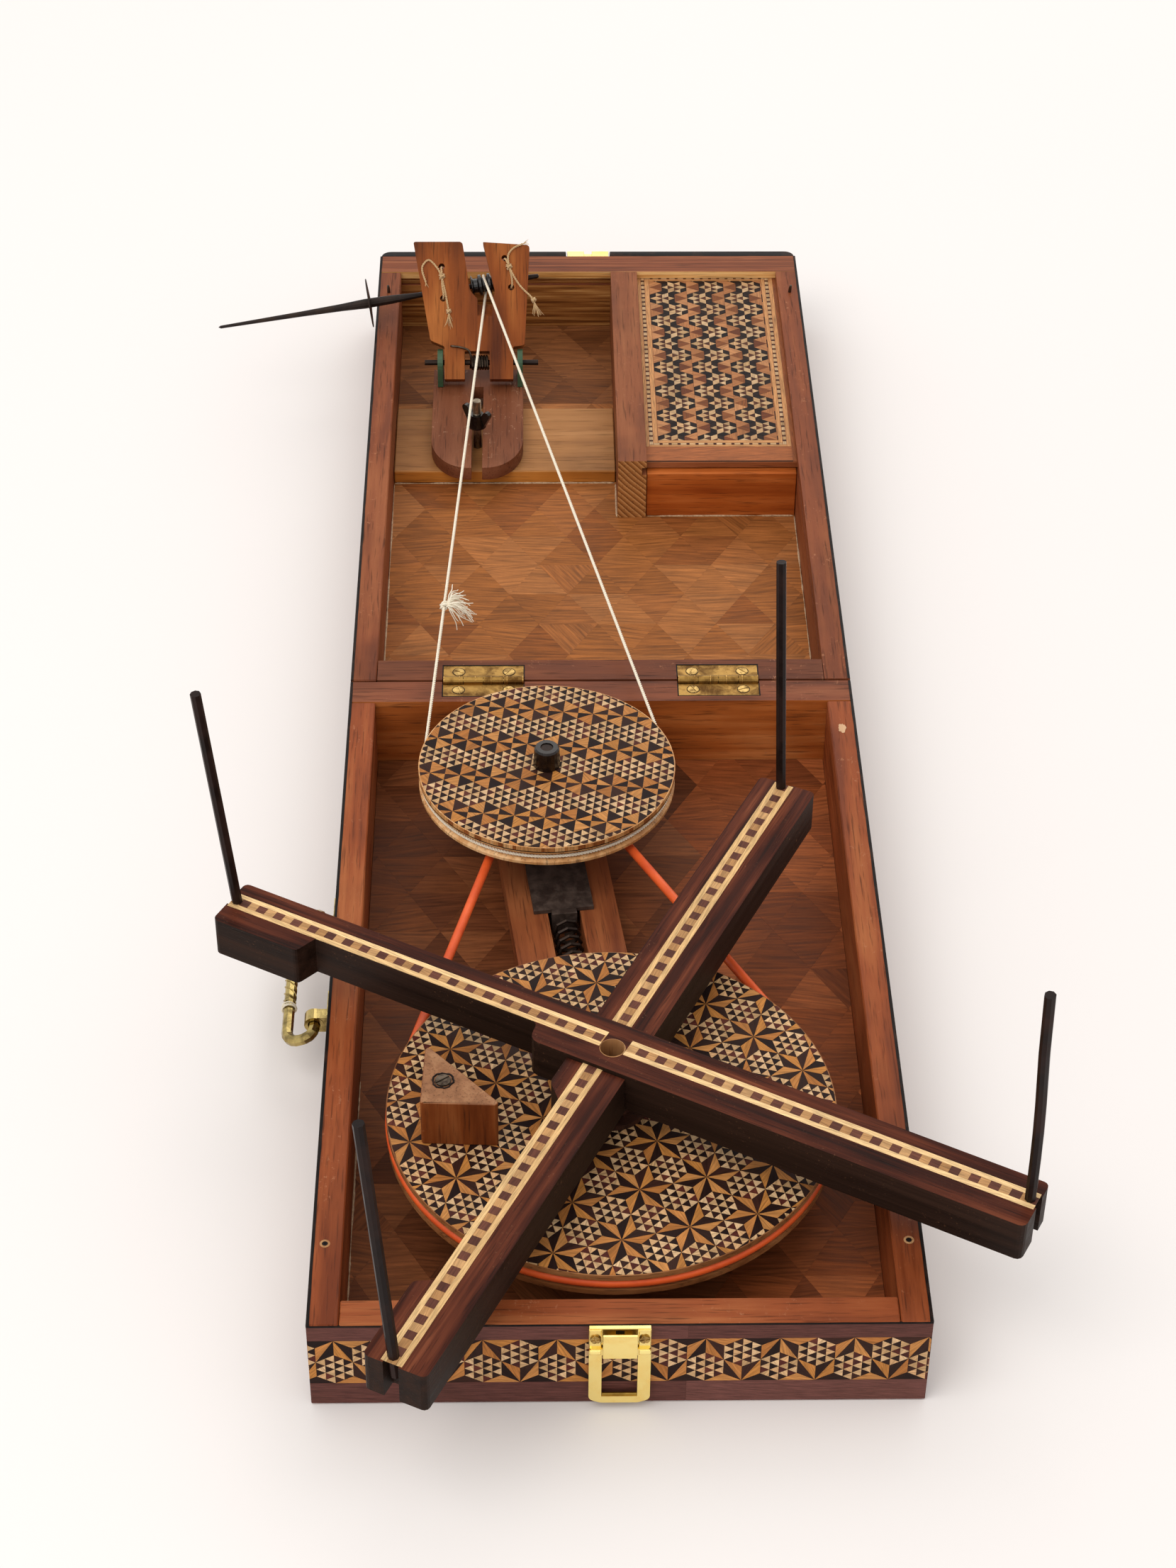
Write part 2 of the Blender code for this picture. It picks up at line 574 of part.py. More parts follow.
def fork():
    """The spindle fork: two prongs, a notch for the pulley, and two legs round the spring."""
    outline = rounded([
        (-38.3, 70.5, 1), (-28.5, 12.4, 2), (-20.2, 8.8, 1.5), (-20.2, -10.6, 0.5), (-8.4, -10.6, 0.5),
        (-8.4, 6.0, 0.5), (6.4, 6.0, 0.5), (6.4, -10.6, 0.5), (20.2, -10.6, 0.5), (20.2, 8.6, 1),
        (27.0, 9.4, 2), (30.2, 68.5, 2), (2.6, 70.3, 0.5), (8.2, 47.0, 6), (10.4, 38.6, 4),
        (1.0, 35.0, 4), (-5.0, 41.6, 4), (-9.5, 70.5, 2),
    ], 3)
    holes = [circle(1.9, x, y, 10) for x, y in ((-21.7, 55.9), (-20.9, 37.1), (15.4, 60.8), (19.2, 43.6))]
    half = FORK_THICKNESS / 2
    frame = fork_frame()
    made = flat("spindle_fork", FORK_WOOD, outline, -half, half, frame, holes)
    bore = drum("cut_fork_bore", None, 2.0, -60, 60, frame @ ALONG_X, 16, True)
    boolean(made, bore)
    boolean(made, drum("cut_pulley_pocket", None, 7.4, -9.6, 9.6, spindle_frame(), 24, True))
    run = frame.to_3x3().inverted() @ (at(*SMALL_WHEEL, CORD_LEVEL) - frame.translation)
    run = Vector((0, run.y, run.z)).normalized()
    turn = Matrix((Vector((1, 0, 0)), run.cross(Vector((1, 0, 0))), run)).transposed().to_4x4()
    spot = Matrix.Translation(Vector((PULLEY_X, SPINDLE_LIFT, -SPINDLE_BEHIND)) * MM)
    boolean(made, block("cut_cord_channel", None, (-4.2, -8.3, -4), (4.6, 1, 36), where=frame @ spot @ turn,
                        cutter=True))


def holder():
    nose, back, half = HOLDER_NOSE, HOLDER_BACK, HOLDER_HALF
    slot, end = 3.1, 312.0
    curve = []
    for k in range(15):
        angle = math.radians(90 * k / 14)
        curve.append((slot + 2.0 + (half - slot - 2.0) * math.cos(angle), nose + 30.0 * (1 - math.sin(angle))))
    left = [(-x, y) for x, y in curve]
    outline = ([(-half, back)] + left + [(-slot, nose), (-slot, end), (slot, end), (slot, nose)]
               + curve[::-1] + [(half, back)])
    frame = upright(HOLDER_X, 0)
    base = flat("holder_base", HOLDER_WOOD, outline, BATTEN_TOP + GAP, HOLDER_TOP, frame)
    bevel(base, 0.6)
    top = PIVOT_Z + EAR_R
    ear = rounded([(-EAR_R, HOLDER_TOP + GAP, 0.5), (EAR_R, HOLDER_TOP + GAP, 0.5),
                   (EAR_R, top, EAR_R - 0.1), (-EAR_R, top, EAR_R - 0.1)], 6)
    side_on = Matrix(((0, 0, 1), (1, 0, 0), (0, 1, 0))).to_4x4()
    for name, x in (("left", -23.8), ("right", 23.2)):
        made = flat(f"holder_{name}_ear", GREEN, ear, x, x + 3.1,
                    Matrix.Translation(at(HOLDER_X, PIVOT_Y, 0)) @ side_on)
        boolean(made, drum(f"cut_{name}_ear", None, 1.9, x - 3, x + 6,
                           Matrix.Translation(at(HOLDER_X, PIVOT_Y, PIVOT_Z)) @ ALONG_X, 16, True))
    pivot = Matrix.Translation(at(HOLDER_X, PIVOT_Y, PIVOT_Z)) @ ALONG_X
    drum("fork_pivot_rod", STEEL, 1.6, -31.5, 35.5, pivot, 16)
    coil("fork_spring", pivot, (-4.5, 6.0), 3.9, 0.7, 7, 0)
    clamp()


def clamp():
    """The bolt that stands in the batten, and the wing nut that presses the holder down."""
    where = upright(HOLDER_X, BOLT_Y)
    drum("holder_bolt", BOLT_STEEL, 2.4, BATTEN_TOP + GAP, 1.5, where, 16)
    low = HOLDER_TOP + 6.0
    nut = turned("wing_nut", BLACK, [(2.55, low + 8), (3.9, low + 8), (5.4, low + 1), (5.4, low),
                                     (2.55, low)], where, 16)
    wing = rounded([(3.2, low + 1.5, 0), (5.6, low + 1.5, 2), (10.2, low + 10, 2.4), (7.4, low + 14, 2.4),
                    (3.4, low + 7.5, 1.5)], 3)
    edge_on = Matrix(((1, 0, 0), (0, 0, -1), (0, 1, 0))).to_4x4()
    for side, turn in (("a", -38), ("b", 142)):
        frame = where @ Matrix.Rotation(math.radians(turn), 4, "Z") @ edge_on
        boolean(nut, flat(f"add_wing_{side}", None, wing, -1.3, 1.3, frame, cutter=True), "UNION")


def spindle_frame():
    """Local frame on the spindle's axis at the pulley: Z runs along the spindle to its right end."""
    tilt = math.radians(SPINDLE_SLOPE)
    run = Vector((math.cos(tilt), math.sin(tilt), 0))
    side = Vector((0, 0, 1))
    spin = Matrix((side.cross(run) * -1.0, side, run)).transposed().to_4x4()
    spot = Vector((PULLEY_X, SPINDLE_LIFT, -SPINDLE_BEHIND)) * MM
    return fork_frame() @ Matrix.Translation(spot) @ spin


def spindle():
    frame = spindle_frame()
    turned("spindle_shaft", STEEL, [(0, 32.5), (1.2, 32.0), (1.5, 28), (1.6, -40), (2.6, -56), (2.9, -72),
                                    (2.2, -86), (1.6, -110), (0.9, -158.5), (0, -160)], frame, 12)
    turned("spindle_disc", STEEL, [(3.1, -68.3), (5.5, -68.5), (14.3, -69.0), (14.3, -69.6), (3.1, -69.6)],
           frame, 32)
    edges = [(1.75, 8.4), (4.2, 8.4)]
    for middle in (5.4, 0.0, -5.4):
        edges += [(6.3, middle + 2.4), (6.3, middle + 2.0), (4.2, middle + 1.1), (4.2, middle - 1.1),
                  (6.3, middle - 2.0), (6.3, middle - 2.4)]
    turned("spindle_pulley", BLACK, edges + [(4.2, -8.4), (1.75, -8.4)], frame, 20)


def cord():
    """The endless cotton cord: round the front of the small wheel and over the spindle's middle groove."""
    frame = spindle_frame()
    wheel = at(*SMALL_WHEEL, CORD_LEVEL)
    run = frame.translation - wheel
    heading = math.degrees(math.atan2(run.y, run.x))
    lean = math.degrees(math.acos((CORD_ON_WHEEL_R - CORD_ON_PULLEY_R) * MM / run.xy.length))
    line = [at(p.x, p.y, CORD_LEVEL)
            for p in arc(SMALL_WHEEL, CORD_ON_WHEEL_R, heading + lean, heading - lean + 360, 30)]
    local = frame.to_3x3().inverted() @ run.normalized()
    facing = math.degrees(math.atan2(local.y, local.x))
    loop = [frame @ (Vector((p.x, p.y, 0)) * MM)
            for p in arc((0, 0), CORD_ON_PULLEY_R, facing - 90, facing + 90, 8)]
    if loop[0].z < loop[-1].z:
        loop.reverse()
    wire("drive_cord", COTTON, line + loop, CORD_R, closed=True)


def ties():
    """Twine that ties the spindle to the fork: its knotted tails lie on the fork's front face."""
    frame = fork_frame()
    lift = FORK_THICKNESS / 2 + 1.5
    tails = {
        "left": [(-21.7, 52.5), (-21.6, 47), (-20.4, 41), (-18.6, 34), (-16.6, 26), (-15.0, 18)],
        "right": [(15.9, 57.5), (17.0, 52), (19.5, 46.5), (24.0, 40), (28.5, 34), (33.0, 28)],
    }
    for name, line in tails.items():
        wire(f"{name}_tie", COTTON, [frame @ (Vector((x, y, lift)) * MM) for x, y in line], 0.9)


# ---- handle and latch ----
def handle():
    pivot = Matrix.Translation(at(HANDLE_PIVOT_X, 0, HANDLE_PIVOT_Z)) @ ALONG_Y
    for name, y in zip(("front", "back"), HANDLE_POSTS):
        post = drum(f"handle_{name}_post", OLD_BRASS, 4.6, y - 3.2, y + 3.2, pivot, 20)
        foot = block(f"add_{name}_foot", None, (-TRAY_WIDTH / 2 - 7.5, y - 3.0, HANDLE_PIVOT_Z - 4.4),
                     (-TRAY_WIDTH / 2 - 1.2, y + 3.0, HANDLE_PIVOT_Z + 4.4), cutter=True)
        plate = block(f"add_{name}_plate", None, (-TRAY_WIDTH / 2 - 1.6, y - 8, HANDLE_PIVOT_Z - 11),
                      (-TRAY_WIDTH / 2 - GAP, y + 8, HANDLE_PIVOT_Z + 11), cutter=True)
        boolean(post, foot, "UNION")
        boolean(post, plate, "UNION")
        boolean(post, drum(f"cut_{name}_post", None, HANDLE_R + 0.25, y - 8, y + 8, pivot, 16, True))
    droop = math.radians(HANDLE_DROOP)
    out = Vector((-math.cos(droop), 0, -math.sin(droop)))
    corner = 8.0
    half = []
    near, far = HANDLE_POSTS
    over = 10.5
    half.append((0.0, near + 2.5))
    half.append((0.0, near - over + 5.0))
    half += [tuple(p) for p in arc((4.5, near - over + 5.0), 4.5, 180, 270, 3)][1:]
    half += [tuple(p) for p in arc((HANDLE_REACH - corner, near - over + 0.5 + corner), corner, -90, 0, 5)]
    middle = (near + far) / 2
    line = half + [(s, 2 * middle - y) for s, y in reversed(half)]
    spot = at(HANDLE_PIVOT_X, 0, HANDLE_PIVOT_Z)
    points = [spot + (out * s + Vector((0, y, 0))) * MM for s, y in line]
    wire("handle_bail", OLD_BRASS, points, HANDLE_R, sides=2)


def latch():
    front = -HINGE_SLIT - TRAY_LENGTH
    half = LATCH_HALF
    plate = block("latch_plate", NEW_BRASS, (-half, front - 2.2, LATCH_PIVOT_Z + 2.8), (half, front - GAP, -0.8))
    boolean(plate, block("add_latch_neck", None, (-5, front - 5.4, LATCH_PIVOT_Z + 3.2),
                         (5, front - 1.0, LATCH_PIVOT_Z + 8), cutter=True), "UNION")
    boolean(plate, block("add_latch_tongue", None, (-7.1, front - 6.2, -14.8), (7.1, front - 5.0, -1.2), cutter=True),
            "UNION")
    bevel(plate, 0.25)
    face_on = Matrix(((1, 0, 0), (0, 0, -1), (0, 1, 0))).to_4x4()
    low, top = -45.2, LATCH_PIVOT_Z + 1.8
    outline = rounded([(-half, top, 1), (-half, low + 2, 3), (-half + 5, low, 3), (half - 5, low, 3),
                       (half, low + 2, 3), (half, top, 1)], 3)
    hole = [(-7.4, LATCH_PIVOT_Z - 1.8), (-7.4, low + 4.0), (7.4, low + 4.0), (7.4, LATCH_PIVOT_Z - 1.8)]
    flat("latch_loop", NEW_BRASS, outline, 1.4, 3.8,
         Matrix.Translation(at(0, front, 0)) @ face_on, [hole])
    far = HINGE_SLIT + TRAY_LENGTH
    keeper = block("latch_keeper", NEW_BRASS, (-half, far + GAP, -16), (half, far + 1.9, -0.8))
    boolean(keeper, block("add_keeper_hook", None, (-7, far + 1.0, -12), (7, far + 5.5, -8), cutter=True), "UNION")


def main():
    trays()
    hinges()
    carriage()
    small_wheel()
    large_wheel()
    belt()
    winder()
    fork()
    holder()
    spindle()
    cord()
    ties()
    handle()
    latch()


main()
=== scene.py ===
"""Looks for an Indian box charkha, open flat, with its skein winder standing on the large wheel.

Lengths are in millimetres until at() turns them into the row frame's metres: x from the centre line,
y from the hinge line (base negative, lid positive) and z from the trays' rims.
"""

import random
from math import acos, asin, atan2, cos, degrees, pi, radians, sin, sqrt

import bpy
from mathutils import Matrix, Vector


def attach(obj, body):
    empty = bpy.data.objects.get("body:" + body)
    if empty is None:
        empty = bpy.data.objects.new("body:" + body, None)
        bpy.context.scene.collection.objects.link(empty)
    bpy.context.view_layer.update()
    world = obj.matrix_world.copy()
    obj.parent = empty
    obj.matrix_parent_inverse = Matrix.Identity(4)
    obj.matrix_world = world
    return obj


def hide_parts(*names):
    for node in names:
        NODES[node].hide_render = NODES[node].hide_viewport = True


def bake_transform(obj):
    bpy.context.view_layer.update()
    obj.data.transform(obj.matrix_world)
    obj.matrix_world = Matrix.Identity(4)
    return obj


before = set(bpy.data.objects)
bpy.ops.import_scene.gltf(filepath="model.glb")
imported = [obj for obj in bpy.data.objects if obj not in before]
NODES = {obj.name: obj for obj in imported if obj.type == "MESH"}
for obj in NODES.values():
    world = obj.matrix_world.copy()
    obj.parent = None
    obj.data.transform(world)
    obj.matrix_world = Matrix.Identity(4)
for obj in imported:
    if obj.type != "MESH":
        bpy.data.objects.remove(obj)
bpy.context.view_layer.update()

MM = 0.001
HINGE_Y, RIM_Z = 213.8, 49.0
HALF_WIDTH, TRAY_END, FLOOR = 127.5, 426.8, -38.3
UP, TOWARDS = (0, 0, 1), (0, -1, 0)
ROOT3 = sqrt(3)
rng = random.Random(7)


def at(x, y, z):
    """Hinge millimetres, in the row frame's metres."""
    return Vector((x, y + HINGE_Y, z + RIM_Z)) * MM


def polar(radius, angle):
    """The point at a radius and an angle in degrees."""
    return Vector((radius * cos(radians(angle)), radius * sin(radians(angle))))


def turned_frame(x, y, z, angle=0, axis="Z"):
    """A frame at a point in hinge millimetres, in metres, turned about an axis by degrees."""
    return Matrix.Translation(at(x, y, z)) @ Matrix.Rotation(radians(angle), 4, axis)


HINGE_LINE = turned_frame(0, 0, 0)
SCENE = bpy.context.scene


# ---------------------------------------------------------------- camera
def add_object(name, data):
    made = bpy.data.objects.new(name, data)
    SCENE.collection.objects.link(made)
    return made


def make_camera():
    pitch, yaw, roll = radians(39.595), -0.0214, 0.0095
    ahead = Vector((-sin(yaw) * cos(pitch), cos(yaw) * cos(pitch), -sin(pitch)))
    right0 = Vector((cos(yaw), sin(yaw), 0))
    up0 = right0.cross(ahead)
    right = right0 * cos(roll) + up0 * sin(roll)
    up = up0 * cos(roll) - right0 * sin(roll)
    data = bpy.data.cameras.new("camera")
    data.sensor_fit = "VERTICAL"
    data.sensor_height = 36.0
    data.lens = 71.96
    data.clip_start, data.clip_end = 0.05, 50
    camera = add_object("camera", data)
    turn = Matrix((right, up, -ahead)).transposed().to_4x4()
    camera.matrix_world = Matrix.Translation(at(-33.18, -1267.64, 979.99)) @ turn
    SCENE.camera = camera


make_camera()


# ---------------------------------------------------------------- mesh tools
def linear(colour):
    """sRGB from 0 to 255, to linear from 0 to 1."""
    out = []
    for value in colour:
        value /= 255
        out.append(value / 12.92 if value <= 0.04045 else ((value + 0.055) / 1.055) ** 2.4)
    return out


def rgba(colour):
    return (*linear(colour), 1.0)


def join_meshes(parts):
    verts, faces = [], []
    for some_verts, some_faces in parts:
        start = len(verts)
        verts += some_verts
        faces += [tuple(i + start for i in face) for face in some_faces]
    return verts, faces


def finish_piece(name, made, material, body, smooth=False, replaces=()):
    """A piece from one mesh, as (verts, faces), or from a list of them."""
    verts, faces = join_meshes(made) if isinstance(made, list) else made
    mesh = bpy.data.meshes.new(name)
    mesh.from_pydata([tuple(v) for v in verts], [], faces)
    mesh.validate()
    if smooth:
        mesh.polygons.foreach_set("use_smooth", [True] * len(mesh.polygons))
        mesh.set_sharp_from_angle(angle=radians(42))
    mesh.materials.append(material)
    piece = add_object(name, mesh)
    if body:
        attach(piece, body)
    if replaces:
        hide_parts(*replaces)
    return piece


def tube_faces(rings, sides, closed):
    faces = []
    last = rings if closed else rings - 1
    for i in range(last):
        j = (i + 1) % rings
        for k in range(sides):
            m = (k + 1) % sides
            faces.append((i * sides + k, i * sides + m, j * sides + m, j * sides + k))
    if not closed:
        faces.append(tuple(range(sides))[::-1])
        faces.append(tuple((rings - 1) * sides + k for k in range(sides)))
    return faces


def resample(points, step, closed=False):
    """Points at equal steps along a polyline."""
    line = list(points) + ([points[0]] if closed else [])
    lengths = [0.0]
    for a, b in zip(line, line[1:]):
        lengths.append(lengths[-1] + (b - a).length)
    count = max(2, round(lengths[-1] / step))
    out, k = [], 0
    for i in range(count if closed else count + 1):
        goal = lengths[-1] * i / count
        while k < len(line) - 2 and lengths[k + 1] < goal:
            k += 1
        span = max(lengths[k + 1] - lengths[k], 1e-9)
        out.append(line[k].lerp(line[k + 1], (goal - lengths[k]) / span))
    return out


def spline(points, steps=8):
    """A smooth line through points (Catmull-Rom)."""
    line = [points[0] * 2 - points[1], *points, points[-1] * 2 - points[-2]]
    out = []
    for a, b, c, d in zip(line, line[1:], line[2:], line[3:]):
        for k in range(steps):
            t = k / steps
            out.append(0.5 * ((2 * b) + (c - a) * t + (2 * a - 5 * b + 4 * c - d) * t * t
                              + (3 * b - a - 3 * c + d) * t ** 3))
    out.append(points[-1])
    return out


def carried_frames(points, closed=False):
    """A normal and a binormal at each point, turning as little as possible."""
    count = len(points)
    frames = []
    normal = None
    for i in range(count):
        if closed:
            run = points[(i + 1) % count] - points[i - 1]
        else:
            run = points[min(i + 1, count - 1)] - points[max(i - 1, 0)]
        run.normalize()
        if normal is None:
            normal = run.orthogonal().normalized()
        normal = (normal - run * normal.dot(run)).normalized()
        frames.append((normal.copy(), run.cross(normal)))
    return frames


def tube_mesh(points, radius, sides=8, closed=False):
    """A tube along points; its radius is one number, or one for each point."""
    verts = []
    for i, (point, (a, b)) in enumerate(zip(points, carried_frames(points, closed))):
        r = radius[i] if isinstance(radius, list) else radius
        for k in range(sides):
            angle = 2 * pi * k / sides
            verts.append(point + (a * cos(angle) + b * sin(angle)) * r)
    return verts, tube_faces(len(points), sides, closed)


def tapered_tube(points, radius, taper):
    """A fibre: a smooth thin tube, narrower towards its end."""
    points = spline(points, 2)
    radii = [radius * (1 - taper * i / (len(points) - 1)) for i in range(len(points))]
    return tube_mesh(points, radii, 5)


def twisted_mesh(points, radius, pitch, closed=False, sides=6):
    """A laid cord: two plies wound round each other along a line."""
    step = pitch / 9
    line = resample(points, step, closed)
    frames = carried_frames(line, closed)
    turns = len(line) * step / pitch
    if closed:
        turns = round(turns)
    parts = []
    ply_r = radius * 0.52
    for ply in (0, 1):
        path = []
        for i, (point, (a, b)) in enumerate(zip(line, frames)):
            angle = 2 * pi * (turns * i / len(line) + ply / 2)
            path.append(point + (a * cos(angle) + b * sin(angle)) * (radius - ply_r))
        parts.append(tube_mesh(path, ply_r, sides, closed))
    return join_meshes(parts)


def lathe_mesh(profile, steps, where):
    """A closed turned solid from (radius, height) pairs in millimetres, running up the frame's Z."""
    verts = []
    for radius, height in profile:
        for k in range(steps):
            p = polar(max(radius, 0.001), 360 * k / steps)
            verts.append(where @ (Vector((p.x, p.y, height)) * MM))
    return verts, tube_faces(len(profile), steps, False)


def prism_mesh(outline, low, high, where, chamfer=0.0):
    """A convex plate from a counter-clockwise outline in millimetres, with a small chamfer on top."""
    levels = [(outline, low), (outline, high - chamfer)]
    if chamfer:
        levels.append((shrunk(outline, chamfer), high))
    verts = [where @ (Vector((p[0], p[1], z)) * MM) for line, z in levels for p in line]
    return verts, tube_faces(len(levels), len(outline), False)


def shrunk(outline, gap):
    """A convex outline with each edge moved in by gap."""
    count = len(outline)
    out = []
    for k in range(count):
        a, b, c = (Vector(outline[k - 1][:2]), Vector(outline[k][:2]), Vector(outline[(k + 1) % count][:2]))
        u, v = (b - a).normalized(), (c - b).normalized()
        cross = u.x * v.y - u.y * v.x
        n1, n2 = Vector((-u.y, u.x)), Vector((-v.y, v.x))
        if abs(cross) < 0.02:
            out.append(b + n1 * gap)
            continue
        p, q = b + n1 * gap, b + n2 * gap
        t = ((q - p).x * v.y - (q - p).y * v.x) / cross
        out.append(p + u * t)
    return out


def clipped(polygon, window):
    """A convex polygon cut by a convex counter-clockwise window."""
    out = [Vector(p) for p in polygon]
    for a, b in zip(window, window[1:] + window[:1]):
        edge = b - a
        side = [edge.x * (p.y - a.y) - edge.y * (p.x - a.x) for p in out]
        if all(s >= 0 for s in side):
            continue
        kept = []
        for k, p in enumerate(out):
            q, s, t = out[k - 1], side[k], side[k - 1]
            if (s >= 0) != (t >= 0):
                kept.append(q.lerp(p, t / (t - s)))
            if s >= 0:
                kept.append(p)
        out = kept
        if len(out) < 3:
            return []
    clean = []
    for p in out:
        if not clean or (p - clean[-1]).length > 0.05:
            clean.append(p)
    if len(clean) > 2 and (clean[0] - clean[-1]).length < 0.05:
        clean.pop()
    return clean if len(clean) > 2 else []


def area_of(polygon):
    return 0.5 * sum(polygon[k - 1].x * p.y - polygon[k - 1].y * p.x for k, p in enumerate(polygon))


# ---------------------------------------------------------------- material tools
class Net:
    """A small wrapper round a material's nodes."""

    def __init__(self, name, roughness=0.5, metallic=0.0, coat=0.0, coat_roughness=0.2, specular=0.14):
        self.mat = bpy.data.materials.new(name)
        self.mat.use_nodes = True
        tree = self.mat.node_tree
        tree.nodes.clear()
        self.nodes, self.links = tree.nodes, tree.links
        self.bsdf = self.nodes.new("ShaderNodeBsdfPrincipled")
        self.links.new(self.bsdf.outputs[0], self.nodes.new("ShaderNodeOutputMaterial").inputs[0])
        for key, value in (("Roughness", roughness), ("Metallic", metallic), ("Coat Weight", coat),
                           ("Coat Roughness", coat_roughness), ("Specular IOR Level", specular)):
            self.bsdf.inputs[key].default_value = value

    def put(self, socket, value):
        if isinstance(value, bpy.types.NodeSocket):
            self.links.new(value, socket)
        elif isinstance(value, (tuple, list, Vector)) and len(value) == 3 and socket.type == "RGBA":
            socket.default_value = rgba(value)
        elif value is not None:
            socket.default_value = value

    def coords(self, kind="Object"):
        return self.nodes.new("ShaderNodeTexCoord").outputs[kind]

    def attribute(self, name, output="Vector"):
        return self.add("Attribute", output, attribute_name=name)

    def add(self, kind, output, *sockets, **settings):
        """A new node: its settings, then (socket, value) pairs; returns one of its outputs."""
        node = self.nodes.new("ShaderNode" + kind)
        for key, value in settings.items():
            setattr(node, key, value)
        for key, value in sockets:
            self.put(node.inputs[key], value)
        return node.outputs[output]

    def math(self, operation, a, b=None):
        return self.add("Math", 0, (0, a), (1, b), operation=operation)

    def product(self, a, b):
        return self.math("MULTIPLY", a, b)

    def dot(self, a, b):
        return self.add("VectorMath", "Value", (0, a), (1, b), operation="DOT_PRODUCT")

    def facing(self, direction, low, high):
        """1 where the surface faces a direction, 0 where it faces away."""
        return self.spread(self.dot(self.coords("Normal"), direction), low, high)

    def times(self, vector, factors, operation="MULTIPLY"):
        return self.add("VectorMath", 0, (0, vector), (1, factors), operation=operation)

    def xyz(self, *values):
        return self.add("CombineXYZ", 0, *enumerate(values))

    def noise(self, vector, scale=1.0, detail=3.0, rough=0.55, distortion=0.0):
        return self.add("TexNoise", 0, ("Vector", vector), ("Scale", scale), ("Detail", detail),
                        ("Roughness", rough), ("Distortion", distortion))

    def bands(self, scale):
        """Slanting bands, such as a board's year rings on its end."""
        return self.add("TexWave", "Fac", ("Vector", self.coords()), ("Scale", scale), ("Distortion", 3.0),
                        ("Detail", 1.0), ("Detail Scale", 0.25), wave_type="BANDS",
                        bands_direction="DIAGONAL", wave_profile="SAW")

    def spread(self, value, low, high, to_low=0.0, to_high=1.0):
        return self.add("MapRange", 0, ("Value", value), ("From Min", low), ("From Max", high),
                        ("To Min", to_low), ("To Max", to_high))

    def ramp(self, value, stops):
        node = self.nodes.new("ShaderNodeValToRGB")
        self.put(node.inputs[0], value)
        elements = node.color_ramp.elements
        while len(elements) < len(stops):
            elements.new(0.5)
        for element, (place, colour) in zip(elements, stops):
            element.position = place
            element.color = rgba(colour)
        return node.outputs[0]

    def mix(self, factor, a, b, blend="MIX"):
        return self.add("Mix", "Result", ("Factor", factor), ("A", a), ("B", b), data_type="RGBA",
                        blend_type=blend)

    def finish(self, colour, roughness, height, distance, strength=0.5):
        """The surface's colour, roughness and fine relief; returns the material."""
        bump = self.add("Bump", 0, ("Strength", strength), ("Distance", distance), ("Height", height))
        for key, value in (("Base Color", colour), ("Roughness", roughness), ("Normal", bump)):
            self.put(self.bsdf.inputs[key], value)
        return self.mat


def grain_space(net, axis):
    """Object coordinates as (along the grain, across it, through it)."""
    along = Vector(axis).normalized()
    across = along.orthogonal() if abs(along.z) > 0.9 else Vector((0, 0, 1)).cross(along)
    across.normalize()
    through = along.cross(across)
    place = net.coords()
    return net.xyz(net.dot(place, along), net.dot(place, across), net.dot(place, through))


def wood(name, dark, middle, light, axis=(0, 1, 0), rough=(0.42, 0.62), streak=150.0, pore=0.55, scuff=0.0,
         scuff_colour=(176, 118, 84), coat=0.0, contrast=1.0, seed=0.0, dirt=0.35, blotch=0.5, faces=()):
    """Oiled timber: slow tones, streaks, pores, dusty scuffs; faces holds other tones by direction."""
    net = Net(name, coat=coat, coat_roughness=0.35)
    grain = grain_space(net, axis)
    grain = net.times(grain, (seed, seed * 0.37, seed * 0.71), "ADD")
    slow = net.noise(net.times(grain, (9, 26, 26)), detail=2, distortion=0.6)
    streaks = net.noise(net.times(grain, (streak * 0.05, streak, streak)), detail=5, rough=0.6,
                        distortion=0.35)
    fine = net.noise(net.times(grain, (45, 900, 900)), detail=2, rough=0.6)
    figure = net.math("ADD", net.product(slow, blotch), net.product(streaks, 1 - blotch))
    half = 0.16 / contrast
    figure = net.spread(figure, 0.5 - half, 0.5 + half)
    colour = net.ramp(figure, [(0.0, dark), (0.5, middle), (1.0, light)])
    for direction, tones, *rings in faces:
        facing = net.facing(direction, 0.55, 0.9)
        pattern = net.bands(*rings) if rings else figure
        colour = net.mix(facing, colour, net.ramp(pattern, list(zip((0.0, 0.5, 1.0), tones))))
    pores = net.spread(fine, 0.56, 0.70)
    colour = net.mix(net.product(pores, pore), colour, tuple(0.45 * c for c in dark))
    patch = net.spread(net.noise(net.coords(), 11, 4, 0.65), 0.5, 0.72)
    colour = net.mix(net.product(patch, dirt), colour, tuple(0.5 * c for c in dark))
    roughness = net.spread(net.math("ADD", figure, net.product(pores, 0.5)), 0, 1.2, rough[0], rough[1])
    if scuff:
        marks = net.noise(net.times(net.coords(), (420, 300, 420)), 1.0, 4, 0.7)
        where = net.noise(net.coords(), 26, 3, 0.6)
        dust = net.product(net.spread(marks, 0.60, 0.72), net.spread(where, 0.46, 0.62))
        colour = net.mix(net.product(dust, scuff), colour, scuff_colour)
    return net.finish(colour, roughness, net.math("SUBTRACT", streaks, net.product(pores, 0.6)), 0.00018)


